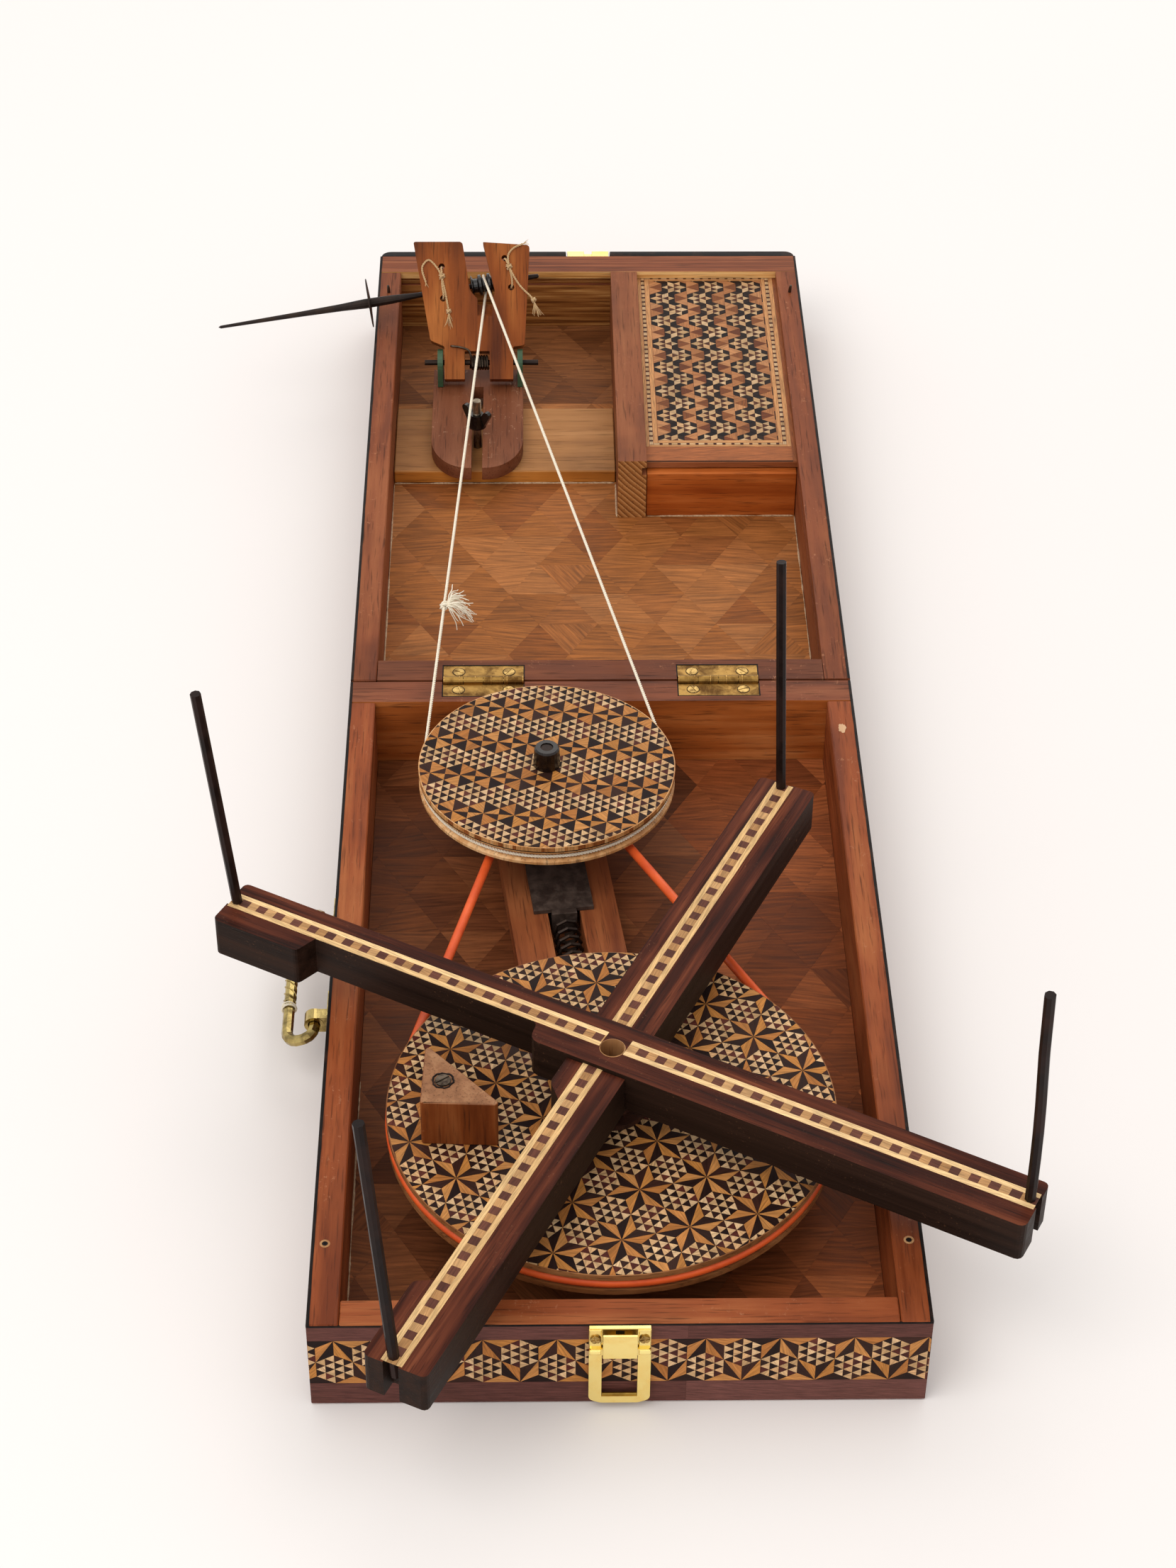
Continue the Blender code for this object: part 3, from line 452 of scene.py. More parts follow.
def end_wall_wood(name):
    """The far wall: reddish above and below, a pale inner edge and olive stripes on its face."""
    net = Net(name)
    grain = grain_space(net, (1, 0, 0))
    streaks = net.noise(net.times(grain, (9, 420, 420)), detail=5, rough=0.62, distortion=0.2)
    fine = net.noise(net.times(grain, (40, 900, 900)), detail=2)
    figure = net.spread(streaks, 0.36, 0.64)
    face = net.ramp(figure,
                    [(0.0, (96, 52, 20)), (0.4, (146, 90, 42)), (0.75, (178, 122, 66)),
                     (1.0, (206, 156, 94))])
    stripe = net.ramp(figure, [(0.0, (180, 122, 62)), (0.5, (220, 164, 98)), (1.0, (240, 194, 130))])
    rim = net.ramp(figure, [(0.0, (98, 50, 28)), (0.5, (128, 70, 44)), (1.0, (150, 92, 62))])
    height = net.add("SeparateXYZ", "Z", (0, net.coords()))
    high = net.spread(height, (RIM_Z - 5.6) * MM, (RIM_Z - 4.9) * MM)
    colour = net.mix(high, face, stripe)
    for way in (1, -1):
        colour = net.mix(net.facing((0, 0, way), 0.3, 0.8), colour, rim)
    pores = net.spread(fine, 0.57, 0.7)
    colour = net.mix(net.product(pores, 0.5), colour, (50, 28, 14))
    return net.finish(colour, net.spread(figure, 0, 1, 0.45, 0.62), net.math("SUBTRACT", streaks, pores),
                      0.00015)


def metal(name, base, worn, rough=(0.25, 0.45), metallic=1.0, scale=180.0, patch_scale=45.0, depth=0.00006,
          amount=0.8, coat=0.0, specular=0.4):
    """Metal with tarnished patches and a fine uneven surface."""
    net = Net(name, metallic=metallic, coat=coat, specular=specular)
    place = net.coords()
    patches = net.spread(net.noise(place, patch_scale, 5, 0.65, 0.4), 0.42, 0.64)
    grit = net.noise(place, scale * 8, 3, 0.6)
    return net.finish(net.mix(net.product(patches, amount), base, worn),
                      net.spread(net.math("ADD", patches, grit), 0.3, 1.5, rough[0],
                                 rough[1]), net.math("ADD", net.noise(place, scale, 3),
                                                     net.product(grit, 0.4)), depth, 0.6)


def inlay_material(name, rough=(0.38, 0.55), strength=0.55, along=0.10, across=1.5):
    """Veneer tiles: each face carries its own tint and its own grain coordinates."""
    net = Net(name, specular=0.09)
    grain = net.attribute("grain")
    tint = net.attribute("tint", "Color")
    streaks = net.noise(net.times(grain, (along, across, 1)), detail=4, rough=0.6, distortion=0.2)
    fine = net.noise(net.times(grain, (0.5, 7.0, 1)), detail=2, rough=0.6)
    shade = net.spread(streaks, 0.3, 0.7, 1 - strength, 1 + strength * 0.55)
    pores = net.spread(fine, 0.56, 0.72, 1.0, 1 - 0.5 * strength)
    both = net.product(shade, pores)
    colour = net.mix(1.0, tint, net.xyz(both, both, both), "MULTIPLY")
    grime = net.spread(net.noise(net.coords(), 30, 4, 0.6), 0.5, 0.75)
    colour = net.mix(net.product(grime, 0.22), colour, (70, 44, 30))
    return net.finish(colour, net.spread(streaks, 0.3, 0.7, rough[0], rough[1]),
                      net.math("ADD", streaks, pores), 0.00008)


def paint(material, *names):
    for name in names:
        slots = NODES[name].data.materials
        slots.clear()
        slots.append(material)


# ---------------------------------------------------------------- materials
TEAK_DARK, TEAK, TEAK_LIGHT = (108, 48, 20), (144, 72, 36), (168, 98, 56)
paint(wood("teak_along_y", TEAK_DARK, TEAK, TEAK_LIGHT, (0, 1, 0), scuff=0.8, contrast=1.15),
      "base_left_wall", "base_right_wall")
paint(wood("teak_along_x", TEAK_DARK, TEAK, TEAK_LIGHT, (1, 0, 0), scuff=0.7, seed=0.31, contrast=1.1),
      "base_front_wall")
paint(wood("base_hinge_teak", (90, 48, 30), (124, 68, 44), (146, 88, 60), (1, 0, 0), scuff=0.7, seed=0.4,
           faces=[(TOWARDS, ((126, 62, 26), (178, 96, 42), (206, 128, 70)))]), "base_hinge_wall")
paint(wood("lid_teak_along_y", (98, 46, 23), (128, 67, 38), (150, 88, 54), (0, 1, 0), scuff=0.8, seed=0.7),
      "lid_left_wall", "lid_right_wall")
paint(wood("lid_teak_along_x", (84, 43, 26), (108, 58, 36), (132, 78, 50), (1, 0, 0), scuff=0.8, seed=1.3),
      "lid_hinge_wall")
END_GRAIN = ((112, 62, 28), (166, 108, 58), (202, 148, 92))
paint(wood("partition_teak", (108, 56, 30), (132, 74, 43), (152, 94, 60), (0, 1, 0), scuff=0.5, seed=2.1,
           faces=[(TOWARDS, END_GRAIN, 165.0)]), "lid_partition")
paint(wood("compartment_teak", (136, 58, 18), (172, 86, 32), (196, 110, 52), (1, 0, 0), seed=3.3,
           contrast=1.2), "compartment_front_wall")
paint(wood("base_floor_wood", (48, 28, 20), (82, 48, 34), (112, 68, 46), (1, 0, 0), seed=0.9), "base_floor")
paint(wood("lid_floor_wood", (116, 66, 36), (148, 90, 50), (168, 110, 66), (1, 0, 0), seed=0.5),
      "lid_floor")
paint(wood("batten_wood", (140, 92, 50), (168, 116, 68), (192, 140, 92), (1, 0, 0), pore=0.4, streak=90,
           seed=4.4, scuff=0.2, faces=[(TOWARDS, ((170, 98, 34), (200, 128, 54), (220, 154, 80)))]),
      "spindle_batten")
paint(wood("cover_wood", (116, 60, 30), (138, 76, 42), (156, 94, 58), (1, 0, 0), seed=5.0),
      "compartment_cover")
paint(wood("guide_wood", (110, 54, 32), (150, 84, 48), (172, 108, 66), (0.11, -0.99, 0), seed=5.5),
      "tension_guide")
paint(wood("wheel_wood", (104, 60, 32), (146, 92, 52), (176, 122, 76), (1, 0, 0), seed=6.2, coat=0.1),
      "large_wheel")
paint(wood("small_wheel_wood", (166, 106, 56), (212, 156, 98), (240, 198, 146), (0, 0, 1), streak=260,
           seed=6.6, coat=0.3, rough=(0.3, 0.42), dirt=0.15), "small_wheel")
paint(wood("hub_wood", (40, 23, 18), (68, 39, 28), (98, 60, 42), (0, 0, 1), seed=7.0), "large_wheel_hub",
      "large_wheel_bearing", "small_wheel_pulley")
paint(wood("peg_wood", (54, 34, 22), (84, 56, 36), (112, 78, 52), (0, 0, 1), seed=7.4), "large_wheel_axle")
raw_wood = wood("raw_bore_wood", (128, 84, 50), (172, 124, 80), (202, 158, 112), (0, 0, 1), seed=7.5,
                dirt=0.3)
filler = wood("filler", (178, 136, 100), (204, 164, 126), (224, 190, 152), (0, 1, 0), seed=7.6, dirt=0.15,
              scuff=0.3)
# painted light: the crank block's top takes lighter tones than its sides, as where the light falls from
# above
paint(wood("crank_wood", (92, 40, 14), (122, 60, 24), (150, 88, 46), (0, 0, 1), seed=7.7, streak=200,
           faces=[(UP, ((112, 72, 46), (148, 102, 70), (172, 128, 92)))], scuff=0.5), "crank_block")
paint(wood("fork_wood", (86, 38, 11), (138, 70, 25), (172, 102, 48), (0, 0.64, 0.77), seed=8.1,
           contrast=1.35, streak=90, scuff=0.12, blotch=0.68), "spindle_fork")
paint(wood("holder_wood", (88, 46, 28), (116, 66, 42), (136, 86, 60), (0, 1, 0), seed=8.5, scuff=0.8,
           blotch=0.7, scuff_colour=(190, 150, 120)), "holder_base")
cap_wood = metal("cap_lacquer", (14, 7, 5), (30, 17, 12), (0.15, 0.28), metallic=0.0, coat=0.15,
                 specular=0.3)
paint(metal("dark_steel", (40, 33, 31), (66, 50, 40), (0.35, 0.6), metallic=0.75, depth=0.0001),
      "small_wheel_axle", "tension_spring", "fork_pivot_rod", "spindle_shaft", "spindle_disc")
paint(metal("painted_steel", (58, 46, 40), (96, 80, 70), (0.4, 0.7), metallic=0.1, scale=260, depth=0.0002,
            patch_scale=160), "carriage_plate")
paint(metal("rod_lacquer", (20, 9, 7), (44, 26, 21), (0.34, 0.52), metallic=0.0, specular=0.14),
      "winder_left_rod", "winder_right_rod", "winder_front_rod", "winder_back_rod")
bolt_steel = metal("bolt_steel", (150, 138, 120), (74, 60, 48), (0.25, 0.5), depth=0.00008, patch_scale=160)
paint(metal("wing_nut_steel", (18, 15, 14), (54, 46, 40), (0.12, 0.3), metallic=0.6, depth=0.00012,
            coat=0.4, patch_scale=120), "wing_nut")
screw_steel = metal("screw_steel", (96, 84, 72), (40, 30, 25), (0.3, 0.5), depth=0.0001, patch_scale=240)
paint(metal("pulley_black", (10, 9, 9), (26, 22, 22), (0.18, 0.32), metallic=0.0, coat=0.5),
      "spindle_pulley")
paint(metal("old_brass", (160, 124, 66), (92, 62, 30), (0.3, 0.52), patch_scale=110, amount=0.95,
            depth=0.0001), "left_hinge_base_leaf", "right_hinge_base_leaf", "left_hinge_lid_leaf",
      "right_hinge_lid_leaf")
barrel_brass = metal("barrel_brass", (196, 156, 90), (128, 88, 44), (0.2, 0.4), patch_scale=120, amount=0.8)
bright_brass = metal("bright_brass", (255, 232, 150), (250, 214, 124), (0.16, 0.3), patch_scale=60,
                     depth=0.00002)
olive_brass = metal("olive_brass", (176, 142, 66), (122, 92, 40), (0.25, 0.45), patch_scale=90,
                    depth=0.00004)
handle_brass = metal("handle_brass", (186, 164, 104), (104, 88, 52), (0.16, 0.34), patch_scale=120,
                     amount=0.85)
paint(metal("green_paint", (52, 82, 56), (86, 98, 72), (0.45, 0.6), metallic=0.1, depth=0.00012,
            amount=0.7), "holder_left_ear", "holder_right_ear")
inlay = inlay_material("inlay_veneer", strength=0.44)
floor_inlay = inlay_material("floor_parquet", rough=(0.42, 0.6), strength=0.5, along=0.04, across=0.66)


def rosewood(name, axis):
    """Near-black rosewood with reddish streaks where it faces up; its sides get painted shade, darker
    still.
    """
    net = Net(name, specular=0.07)
    grain = grain_space(net, axis)
    streaks = net.noise(net.times(grain, (5, 190, 190)), detail=5, rough=0.62, distortion=0.3)
    slow = net.noise(net.times(grain, (14, 60, 60)), detail=2, distortion=0.5)
    figure = net.spread(net.math("ADD", net.product(streaks, 0.65), net.product(slow, 0.35)), 0.36, 0.64)
    colour = net.ramp(figure,
                      [(0.0, (28, 12, 8)), (0.4, (62, 27, 17)), (0.75, (92, 45, 29)), (1.0, (118, 64, 42))])
    fine = net.spread(net.noise(net.times(grain, (60, 1200, 1200)), detail=2), 0.58, 0.7)
    colour = net.mix(net.product(fine, 0.5), colour, (20, 12, 10))
    # painted shade: faces that don't point up take the darker side tones, and the tops the lighter streaks,
    # as if lit from above
    facing = net.facing(UP, 0.5, 0.9)
    side = net.ramp(net.spread(streaks, 0.3, 0.7), [(0.0, (24, 15, 11)), (1.0, (50, 33, 25))])
    colour = net.mix(facing, side, colour)
    marks = net.product(net.spread(net.noise(net.coords(), 700, 3, 0.7), 0.62, 0.75),
                        net.spread(net.noise(net.coords(), 40, 2), 0.5, 0.65))
    colour = net.mix(net.product(marks, 0.55), colour, (140, 98, 70))
    return net.finish(colour, net.spread(streaks, 0.3, 0.7, 0.38, 0.58),
                      net.math("SUBTRACT", streaks, fine), 0.00015)


UPPER_TURN, LOWER_TURN = -28.85, 63.5
upper_rosewood = rosewood("upper_arm_rosewood", polar(1, UPPER_TURN).to_3d())
lower_rosewood = rosewood("lower_arm_rosewood", polar(1, LOWER_TURN).to_3d())


def edging_wood(name, axis):
    """Black edging, rubbed browner in patches."""
    net = Net(name, specular=0.1)
    grain = grain_space(net, axis)
    streaks = net.noise(net.times(grain, (8, 300, 300)), detail=4, rough=0.6)
    worn = net.spread(net.noise(net.coords(), 90, 4, 0.65), 0.52, 0.7)
    colour = net.ramp(net.spread(streaks, 0.34, 0.66), [(0.0, (12, 8, 7)), (1.0, (27, 19, 16))])
    return net.finish(net.mix(net.product(worn, 0.35), colour, (76, 50, 38)),
                      net.spread(streaks, 0.3, 0.7, 0.35, 0.55), streaks, 0.0001)


edge_black = edging_wood("edging_black", (0, 1, 0))
edge_black_x = edging_wood("edging_black_across", (1, 0, 0))
screw_brass = metal("screw_brass", (184, 152, 92), (104, 76, 42), (0.2, 0.42), patch_scale=260,
                    depth=0.00008)


def make_cotton(name, light, shade, scale=2600.0):
    net = Net(name, roughness=0.9, specular=0.2)
    fibres = net.noise(net.coords(), scale, 3, 0.65)
    net.bsdf.inputs["Sheen Weight"].default_value = 0.3
    tone = net.ramp(net.spread(fibres, 0.3, 0.7), [(0.0, shade), (1.0, light)])
    return net.finish(tone, None, fibres, 0.0001, 0.6)


cotton = make_cotton("cord_cotton", (254, 248, 232), (222, 208, 182))
twine = make_cotton("tie_twine", (226, 196, 148), (160, 122, 78))
glue = make_cotton("dried_glue", (206, 178, 142), (150, 112, 80), 900.0)


def make_belt():
    net = Net("belt_rubber", roughness=0.42, specular=0.3)
    place = net.coords()
    wear = net.spread(net.noise(place, 60, 4, 0.6), 0.4, 0.7)
    return net.finish(net.mix(wear, (230, 96, 42), (206, 76, 32)), net.spread(wear, 0, 1, 0.38, 0.55),
                      net.noise(place, 900, 3), 0.00006)


belt_orange = make_belt()


paint(end_wall_wood("end_wall_wood"), "lid_end_wall")
paint(cap_wood, "small_wheel_cap")
paint(screw_steel, "fork_spring")
paint(bolt_steel, "holder_bolt")
paint(barrel_brass, "left_hinge_pin", "right_hinge_pin")
paint(bright_brass, "latch_plate", "latch_keeper", "latch_loop")
paint(handle_brass, "handle_front_post", "handle_back_post", "handle_bail")
paint(upper_rosewood, "winder_upper_arm")
paint(lower_rosewood, "winder_lower_arm")


# ---------------------------------------------------------------- belt and cord
SMALL_WHEEL, LARGE_WHEEL = Vector((-28.0, -83.0)), Vector((-1.0, -305.0))
SMALL_TOP, LARGE_TOP = 12.5, 2.0
BELT_LEVEL, BELT_R, CORD_LEVEL, CORD_R = -4.0, 2.2, 6.0, 0.85
CORD_ON_WHEEL, CORD_ON_PULLEY = 61.1, 5.3
FORK_TILT, SPINDLE_SLOPE = 50.0, 9.1
BELT_ON_LARGE, BELT_ON_SMALL = 96.5, 14.0
FORK_PIVOT = at(-66.0, 318.9, -9.0)


def fork_frame():
    tilt = radians(FORK_TILT)
    up = Vector((0, cos(tilt), sin(tilt)))
    face = Vector((1, 0, 0)).cross(up)
    return Matrix.Translation(FORK_PIVOT) @ Matrix((Vector((1, 0, 0)), up, face)).transposed().to_4x4()


def spindle_frame():
    tilt = radians(SPINDLE_SLOPE)
    run = Vector((cos(tilt), sin(tilt), 0))
    side = Vector((0, 0, 1))
    spin = Matrix((side.cross(run) * -1.0, side, run)).transposed().to_4x4()
    return fork_frame() @ Matrix.Translation(Vector((3.5, 47.5, -7.9)) * MM) @ spin


def arc(centre, radius, first, last, steps):
    return [Vector(centre) + polar(radius, first + (last - first) * k / steps) for k in range(steps + 1)]


def make_belt_piece():
    run = SMALL_WHEEL - LARGE_WHEEL
    heading = degrees(atan2(run.y, run.x))
    lean = degrees(acos((BELT_ON_LARGE - BELT_ON_SMALL) / run.length))
    line = arc(LARGE_WHEEL, BELT_ON_LARGE, heading + lean, heading - lean + 360, 120)
    line += arc(SMALL_WHEEL, BELT_ON_SMALL, heading - lean, heading + lean, 24)
    points = resample([at(p.x, p.y, BELT_LEVEL) for p in line], 0.003, True)
    finish_piece("belt", tube_mesh(points, BELT_R * MM, 14, True), belt_orange, "base", True,
                 ["drive_belt"])


def cord_route():
    """The endless cord's own line, and where its left strand runs."""
    frame_s = spindle_frame()
    wheel = at(SMALL_WHEEL.x, SMALL_WHEEL.y, CORD_LEVEL)
    run = frame_s.translation - wheel
    heading = degrees(atan2(run.y, run.x))
    lean = degrees(acos((CORD_ON_WHEEL - CORD_ON_PULLEY) * MM / run.xy.length))
    around = arc(SMALL_WHEEL, CORD_ON_WHEEL, heading + lean, heading - lean + 360, 90)
    line = [at(p.x, p.y, CORD_LEVEL) for p in around]
    local = frame_s.to_3x3().inverted() @ run.normalized()
    facing = degrees(atan2(local.y, local.x))
    around = arc((0, 0), CORD_ON_PULLEY, facing - 90, facing + 90, 12)
    loop = [frame_s @ (p.to_3d() * MM) for p in around]
    if loop[0].z < loop[-1].z:
        loop.reverse()
    return line, loop


def make_cord():
    line, loop = cord_route()
    points = resample(line + loop, 0.0008, True)
    piece = finish_piece("cord", twisted_mesh(points, CORD_R * MM, 3.0 * MM, True), cotton, None,
                         True, ["drive_cord"])
    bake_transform(piece)
    return line, loop


make_belt_piece()
wheel_line, pulley_loop = make_cord()


def tuft(root, aim, side, up, count, length, radius, spread, curl):
    """Frayed fibres from one point: a short neck, then each fibre curls away on its own."""
    parts = []
    for k in range(count):
        lean = ((k + 0.5) / count - 0.5) * 2 * spread + rng.uniform(-0.25, 0.25)
        lift = rng.uniform(-0.15, 0.6)
        far = length * rng.uniform(0.7, 1.05)
        bend = rng.uniform(-curl, curl)
        heading = (aim * cos(lean) + side * sin(lean) + up * lift).normalized()
        cross = heading.cross(up).normalized() * far
        wave, phase = rng.uniform(0.03, 0.09), rng.uniform(0, 6)
        points = []
        for t in (i / 8 for i in range(9)):
            out = aim.lerp(heading, min(1.0, t / 0.35)) * far * t
            swing = bend * t * t + wave * sin(t * 9 + phase) * t
            points.append(root + out + cross * swing + up * far * (0.12 * sin(t * 4) - 0.35 * t ** 3))
        parts.append(tapered_tube(points, radius, 0.45))
    return parts


def knot_mesh(centre, axis, radius, cord_r, pitch, steps, bulge):
    """A small tight overhand knot: a few crossing turns round the cord."""
    axis = axis.normalized()
    a = axis.orthogonal().normalized()
    b = axis.cross(a)
    points = []
    for k in range(steps + 1):
        angle = 2 * pi * k / 14
        swell = radius * (1 + bulge * sin(angle * 0.7))
        along = (k / steps - 0.5) * radius * 2.0 + 0.35 * radius * sin(angle * 1.5)
        points.append(centre + (a * cos(angle) + b * sin(angle)) * swell + axis * along)
    return twisted_mesh(spline(points, 2), cord_r, pitch)


def make_cord_knot():
    start, end = pulley_loop[-1], wheel_line[0]
    spot = start.lerp(end, (at(0, 52, 0).y - start.y) / (end.y - start.y))
    made = knot_mesh(spot, end - start, 1.5 * MM, 0.8 * MM, 4 * MM, 42, 0.12)
    finish_piece("cord_knot", made, cotton, "lid", True)
    ways = [Vector(way).normalized() for way in ((0.92, 0.25, -0.1), (-0.1, 0.85, 0.4), (0, -0.35, 0.93))]
    made = tuft(spot, *ways, 52, 14.5 * MM, 0.36 * MM, 0.8, 0.45)
    finish_piece("cord_tuft", made, cotton, "lid", True)


make_cord_knot()


# ---------------------------------------------------------------- marquetry
PALETTE = {
    "tan": [(190, 126, 68), (198, 136, 76), (178, 114, 58), (192, 128, 64)],
    "dark": [(40, 23, 19), (34, 19, 17), (50, 30, 24), (58, 33, 26)],
    "wine": [(84, 38, 31), (94, 46, 36), (74, 36, 31)],
    "cream": [(214, 174, 128), (222, 184, 140), (200, 160, 114), (216, 170, 122)],
    "brown": [(132, 76, 44), (142, 84, 48), (118, 64, 38)],
    "umber": [(84, 46, 32), (96, 56, 38), (74, 40, 30)],
    "black": [(32, 21, 19), (26, 17, 17), (40, 26, 22)],
    "lid_parquet": [(160, 98, 52), (168, 106, 58), (152, 92, 46), (172, 110, 62), (144, 84, 42),
                    (160, 98, 50)],
    # painted shade: the lid floor's far tiles take these darker tones, as in the shade of the end wall and
    # the fork
    "shaded_back_parquet": [(126, 76, 42), (136, 84, 48), (118, 70, 38)],
    "base_parquet": [(120, 68, 38), (108, 60, 34), (98, 54, 31), (130, 76, 44), (112, 62, 34)],
    # painted light: the base floor's tiles right of x=28 take these lighter tones, where the light falls;
    # the darker base tones above stand for darker wood and for painted shade under the wheels
    "lit_parquet": [(146, 79, 42), (132, 70, 37), (120, 63, 34), (159, 88, 48), (137, 72, 37)],
    "line": [(232, 192, 136), (238, 200, 146), (224, 182, 126)],
    "square": [(98, 58, 46), (88, 52, 42), (106, 64, 50)],
    "pale_square": [(186, 140, 92), (194, 150, 102), (174, 128, 82)],
    "rosewood": [(104, 64, 58), (96, 58, 52), (114, 72, 65)],
    "strip": [(190, 134, 80), (198, 142, 88)],
    "plain": [(168, 98, 58), (176, 104, 62)],
    "cover_tan": [(196, 132, 84), (186, 122, 76), (204, 142, 94)],
    "cover_strip": [(208, 148, 94), (216, 156, 102)],
    # painted shade: the dark gap strips along the cover's left and near edges stand for the shadow in the
    # gap round the cover
    "gap": [(46, 26, 18), (54, 32, 22)],
    "rim_stripe": [(206, 150, 92), (186, 124, 70), (150, 88, 46), (222, 172, 116)],
}


def tile_piece(name, tiles, place, body, thickness=0.3, sink=0.15, gap=0.05, material=inlay,
               jitter=0.03, spread=0.07, shade=1.0):
    """Thin closed tiles of (outline in mm, wood, grain angle); place maps (u, v, height) to the frame."""
    verts, faces, tints, grains = [], [], [], []
    for outline, kind, angle in tiles:
        outline = [Vector(p) for p in outline]
        size = area_of(outline)
        if size < 0:
            outline.reverse()
        if abs(size) < 0.25:
            continue
        small = shrunk(outline, gap)
        if area_of(small) < 0.08:
            continue
        colour = Vector(linear(rng.choice(PALETTE[kind]))) * shade * rng.uniform(1 - spread, 1 + spread)
        along, seed = polar(1, angle + rng.uniform(-6, 6)), rng.uniform(0, 400)
        high = thickness - sink + rng.uniform(0, jitter)
        start, count = len(verts), len(small)
        for level in (-sink, high):
            verts += [place(p.x, p.y, level) for p in small]
        flat = [(p.dot(along), -p.x * along.y + p.y * along.x, seed) for p in small] * 2
        made = [tuple(start + k for k in range(count))[::-1],
                tuple(start + count + k for k in range(count))]
        made += [(start + k, start + (k + 1) % count, start + count + (k + 1) % count, start + count + k)
                 for k in range(count)]
        for face in made:
            faces.append(face)
            for index in face:
                tints.append((*colour, 1.0))
                grains.append(flat[index - start])
    mesh = finish_piece(name, (verts, faces), material, body).data
    tint = mesh.attributes.new("tint", "FLOAT_COLOR", "CORNER")
    tint.data.foreach_set("color", [c for t in tints for c in t])
    grain = mesh.attributes.new("grain", "FLOAT_VECTOR", "CORNER")
    grain.data.foreach_set("vector", [c for g in grains for c in g])


def triangle_hexagon(centre, side, pointing):
    """A hexagon with upright sides, of small triangles: the cream ones point right (1) or left (-1)."""
    small = side / 2
    f1, f2 = polar(small, 30), polar(small, 90)
    out = []
    for i in range(-3, 3):
        for j in range(-4, 4):
            q = f1 * i + f2 * j
            for way, corners in ((1, (q, q + f1, q + f2)), (-1, (q, q + f1 - f2, q + f1))):
                middle = (corners[0] + corners[1] + corners[2]) / 3
                if any(middle.dot(polar(1, 60 * k)) > side * ROOT3 / 2 for k in range(6)):
                    continue
                kind = "cream" if way == pointing else "wine" if rng.random() < 0.28 else "dark"
                out.append(([centre + c for c in corners], kind, rng.choice((0, 60, 120))))
    return out


def star_tiles(pitch, columns, rows):
    """A net of six-pointed stars, half tan and half dark in each ray, with hexagons between them."""
    e1, e2 = polar(pitch, 0), polar(pitch, 60)
    dent = pitch / (2 * ROOT3)
    out = []
    for j in range(-rows, rows + 1):
        for i in range(-columns - (j + rows) // 2, columns + (rows - j) // 2 + 1):
            c = e1 * i + e2 * j
            for k in range(6):
                tip = c + polar(pitch / 2, 60 * k)
                out.append(([c, c + polar(dent, 60 * k - 30), tip], "tan", 60 * k - 12))
                out.append(([c, tip, c + polar(dent, 60 * k + 30)], "dark", 60 * k + 12))
            out += triangle_hexagon(c + polar(pitch / ROOT3, 30), dent, -1)
            out += triangle_hexagon(c + polar(pitch / ROOT3, 90), dent, 1)
    return out


def moved_tiles(tiles, degrees, origin, stretch=1.0):
    """Tiles stretched in v, turned and moved."""
    c, s = cos(radians(degrees)), sin(radians(degrees))
    out = []
    for outline, kind, angle in tiles:
        line = [Vector((c * p.x - s * p.y * stretch + origin[0], s * p.x + c * p.y * stretch + origin[1]))
                for p in outline]
        out.append((line, kind, angle + degrees))
    return out


def clip_tiles(tiles, window):
    out = []
    for outline, kind, angle in tiles:
        if area_of([Vector(p) for p in outline]) < 0:
            outline = outline[::-1]
        cut = clipped(outline, window)
        if cut:
            out.append((cut, kind, angle))
    return out


def rectangle(x0, y0, x1, y1):
    return [Vector((x0, y0)), Vector((x1, y0)), Vector((x1, y1)), Vector((x0, y1))]


def disc_window(radius, steps=120):
    return [polar(radius, 360 * k / steps) for k in range(steps)]


STAR_PITCH = 29.53


def large_wheel_marquetry():
    tiles = moved_tiles(star_tiles(STAR_PITCH, 4, 4), 13.77, (-1.3, -0.5))
    tiles = clip_tiles(tiles, disc_window(97.8))
    tile_piece("large_wheel_marquetry", tiles,
               lambda u, v, h: at(LARGE_WHEEL.x + u, LARGE_WHEEL.y + v,
                                  LARGE_TOP + h), "wheel")


def band_tiles(s, columns, bands):
    """Rows of long triangles between rows of hexagons, the two woods changing places from row to row."""
    step = ROOT3 * s
    out = []
    for m in range(-bands, bands + 1):
        first, second = ("tan", "dark") if m % 2 == 0 else ("dark", "tan")
        for k in range(-columns, columns + 1):
            n, n1 = Vector((k * step, 3 * s * m)), Vector(((k + 1) * step, 3 * s * m))
            up, down = Vector((0, s)), Vector((0, -s))
            mid = (n + n1) / 2
            m_up, m_down = mid + up / 2, mid + down / 2
            for corners, kind in (((n, m_up, n + up), first), ((m_up, n1, n1 + up), second),
                                  ((n, mid, m_up), second), ((mid, n1, m_up), first),
                                  ((n, m_down, mid), first), ((mid, m_down, n1), second),
                                  ((n, n + down, m_down), second), ((m_down, n1 + down, n1), first)):
                out.append((list(corners), kind, rng.choice((10, 50, 130))))
            out += triangle_hexagon(mid - Vector((0, 1.5 * s)), s, -1 if m % 2 == 0 else 1)
    return out


def small_wheel_marquetry():
    tiles = moved_tiles(band_tiles(8.57, 8, 3), -6.7, (-42.2, -8.1), 1.065)
    tiles = clip_tiles(tiles, disc_window(62.2))
    tile_piece("small_wheel_marquetry", tiles,
               lambda u, v, h: at(SMALL_WHEEL.x + u, SMALL_WHEEL.y + v,
                                  SMALL_TOP + h), "speed_wheel",
               shade=0.9)


large_wheel_marquetry()
small_wheel_marquetry()


def dashes(start, end, pale, spare):
    """Long pale and short dark lengths by turns: where each starts, where it ends, and its wood."""
    out, place = [], start
    while place < end - spare:
        wide, kind = (1.7, "umber") if len(out) % 2 else (pale, "cream")
        out.append((place, min(place + wide, end), kind))
        place += wide
    return out


COVER_TOP = -5.0


